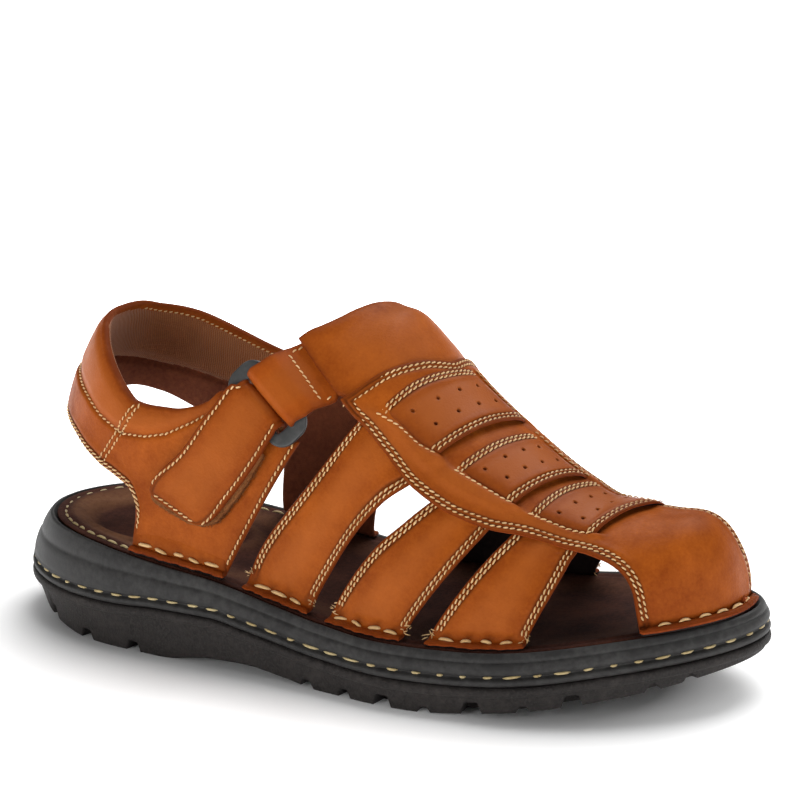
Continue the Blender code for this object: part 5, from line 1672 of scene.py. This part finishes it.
points = centre + flat[..., :1] * long_way + flat[..., 1:] * short_way + bar[None, :, 1:] * ring_n
index = np.arange(points.shape[0] * 28).reshape(-1, 28)
down = np.roll(index, -1, axis=0)
faces = np.stack([index, np.roll(index, -1, axis=1), np.roll(down, -1, axis=1), down], -1).reshape(-1, 4)
put("slide_ring_dressed", points, faces, [RING], ("slide_ring",))

rods("upper_stitches", fine_seams, THREAD)
rods("panel_stitches", panel_seams, THREAD)
rods("strap_stitches", strap_seams, THREAD)
rods("welt_stitches", big_seams, THREAD, 8)
rods("thread_ends", tufts, THREAD, 4)

# Ground, light and camera


def studio_ground():
    """A pale floor, flat near the sandal and curving up far behind it: a profile carried sideways. It glows
    though it is no lamp, away from the sandal and not near it, which paints a shadow round the sandal."""
    made, tree, shader = blank("pale_floor", Roughness=0.9, Specular_IOR_Level=0.1, Emission_Strength=2.2)
    where = place_of(tree)
    apart = add(tree, "ShaderNodeSeparateXYZ", {0: where}).outputs
    along = math(tree, "MINIMUM", math(tree, "MAXIMUM", apart["X"], FLOOR_PAINTED_SHADOW[0]), FLOOR_PAINTED_SHADOW[1])
    sockets = {0: math(tree, "SUBTRACT", apart["X"], along), 1: apart["Y"]}
    aside = add(tree, "ShaderNodeCombineXYZ", sockets).outputs[0]
    away = add(tree, "ShaderNodeVectorMath", {0: aside}, operation="LENGTH").outputs["Value"]
    # Painted shadow: no glow near the sandal, the glow rising further away
    glow_beyond_painted_shadow = plus(tree, spread(tree, away, 0.044, 0.088, 0.0, 0.25), spread(tree, away, 0.15, 0.5, 0.0, 0.75))
    lead(tree, shader, Emission_Color=mixed(tree, glow_beyond_painted_shadow, (0.0, 0.0, 0.0), (1.0, 1.0, 1.0)),
         Base_Color=mixed(tree, noise(tree, where, 3.0), (0.90, 0.90, 0.90), (0.93, 0.93, 0.93)))
    y = np.linspace(-3.0, 6.0, 60)
    profile = np.stack([0 * y, y, np.clip(y - 4.2, 0, None) ** 2 * 0.25], -1)
    points = profile[:, None, :] + np.linspace(-5, 5, 40)[None, :, None] * np.array((1.0, 0.0, 0.0))
    mesh = bpy.data.meshes.new("studio_ground")
    mesh.from_pydata(points.reshape(-1, 3).tolist(), [], grid_faces(60, 40)[:, ::-1].tolist())
    mesh.materials.append(made)
    floor = bpy.data.objects.new("studio_ground", mesh)
    bpy.context.scene.collection.objects.link(floor)
    floor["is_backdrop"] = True


studio_ground()


def aimed(thing, eye, at, upright=UPWARDS):
    """Puts a lamp or camera at a place, looking at a point."""
    back = unit(np.array(eye, float) - np.array(at, float))
    right = unit(np.cross(upright, back))
    up = np.cross(back, right)
    thing.matrix_world = Matrix([[right[k], up[k], back[k], eye[k]] for k in range(3)] + [[0, 0, 0, 1]])


def softbox(name, eye, at, size, power, mirrored=True):
    """A square lamp, which may be left out of reflections."""
    lamp = bpy.data.lights.new(name, "AREA")
    lamp.shape = "SQUARE"
    lamp.size = size
    lamp.energy = power
    made = bpy.data.objects.new(name, lamp)
    made.visible_glossy = mirrored
    bpy.context.scene.collection.objects.link(made)
    aimed(made, eye, at)


softbox("front_softbox", (-0.55, -1.6, 0.30), (0.0, 0.0, 0.05), 1.1, 15.0, False)
softbox("top_softbox", (0.05, 0.7, 1.45), (0.0, 0.0, 0.0), 1.3, 27.0)
softbox("toe_softbox", (1.4, -0.5, 0.6), (0.05, 0.0, 0.05), 0.8, 2.6)
world = bpy.data.worlds.new("studio_air")
world.use_nodes = True
air = world.node_tree.nodes["Background"].inputs
air["Color"].default_value, air["Strength"].default_value = (1.0, 1.0, 1.0, 1.0), 0.1
bpy.context.scene.world = world
bpy.context.scene.view_settings.view_transform = "Standard"

sine, cosine = np.sin(CAMERA_AZIMUTH), np.cos(CAMERA_AZIMUTH)
back = np.array((sine * np.cos(CAMERA_HEIGHT), -cosine * np.cos(CAMERA_HEIGHT), np.sin(CAMERA_HEIGHT)))
right = np.array((cosine, sine, 0.0))
up = np.cross(back, right)
sine, cosine = np.sin(CAMERA_ROLL), np.cos(CAMERA_ROLL)
right, up = right * cosine - up * sine, right * sine + up * cosine
aside = (PICTURE / 2 - MIDDLE_PIXEL[0]) / FOCAL_PIXELS * CAMERA_DISTANCE
above = (MIDDLE_PIXEL[1] - PICTURE / 2) / FOCAL_PIXELS * CAMERA_DISTANCE
lens = bpy.data.cameras.new("photo_camera")
lens.sensor_width = SENSOR
lens.lens = SENSOR * FOCAL_PIXELS / PICTURE
lens.clip_start = 0.01
camera = bpy.data.objects.new("photo_camera", lens)
bpy.context.scene.collection.objects.link(camera)
aimed(camera, SANDAL_MIDDLE + back * CAMERA_DISTANCE, SANDAL_MIDDLE + right * aside + up * above, up)
bpy.context.scene.camera = camera

low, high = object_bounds()
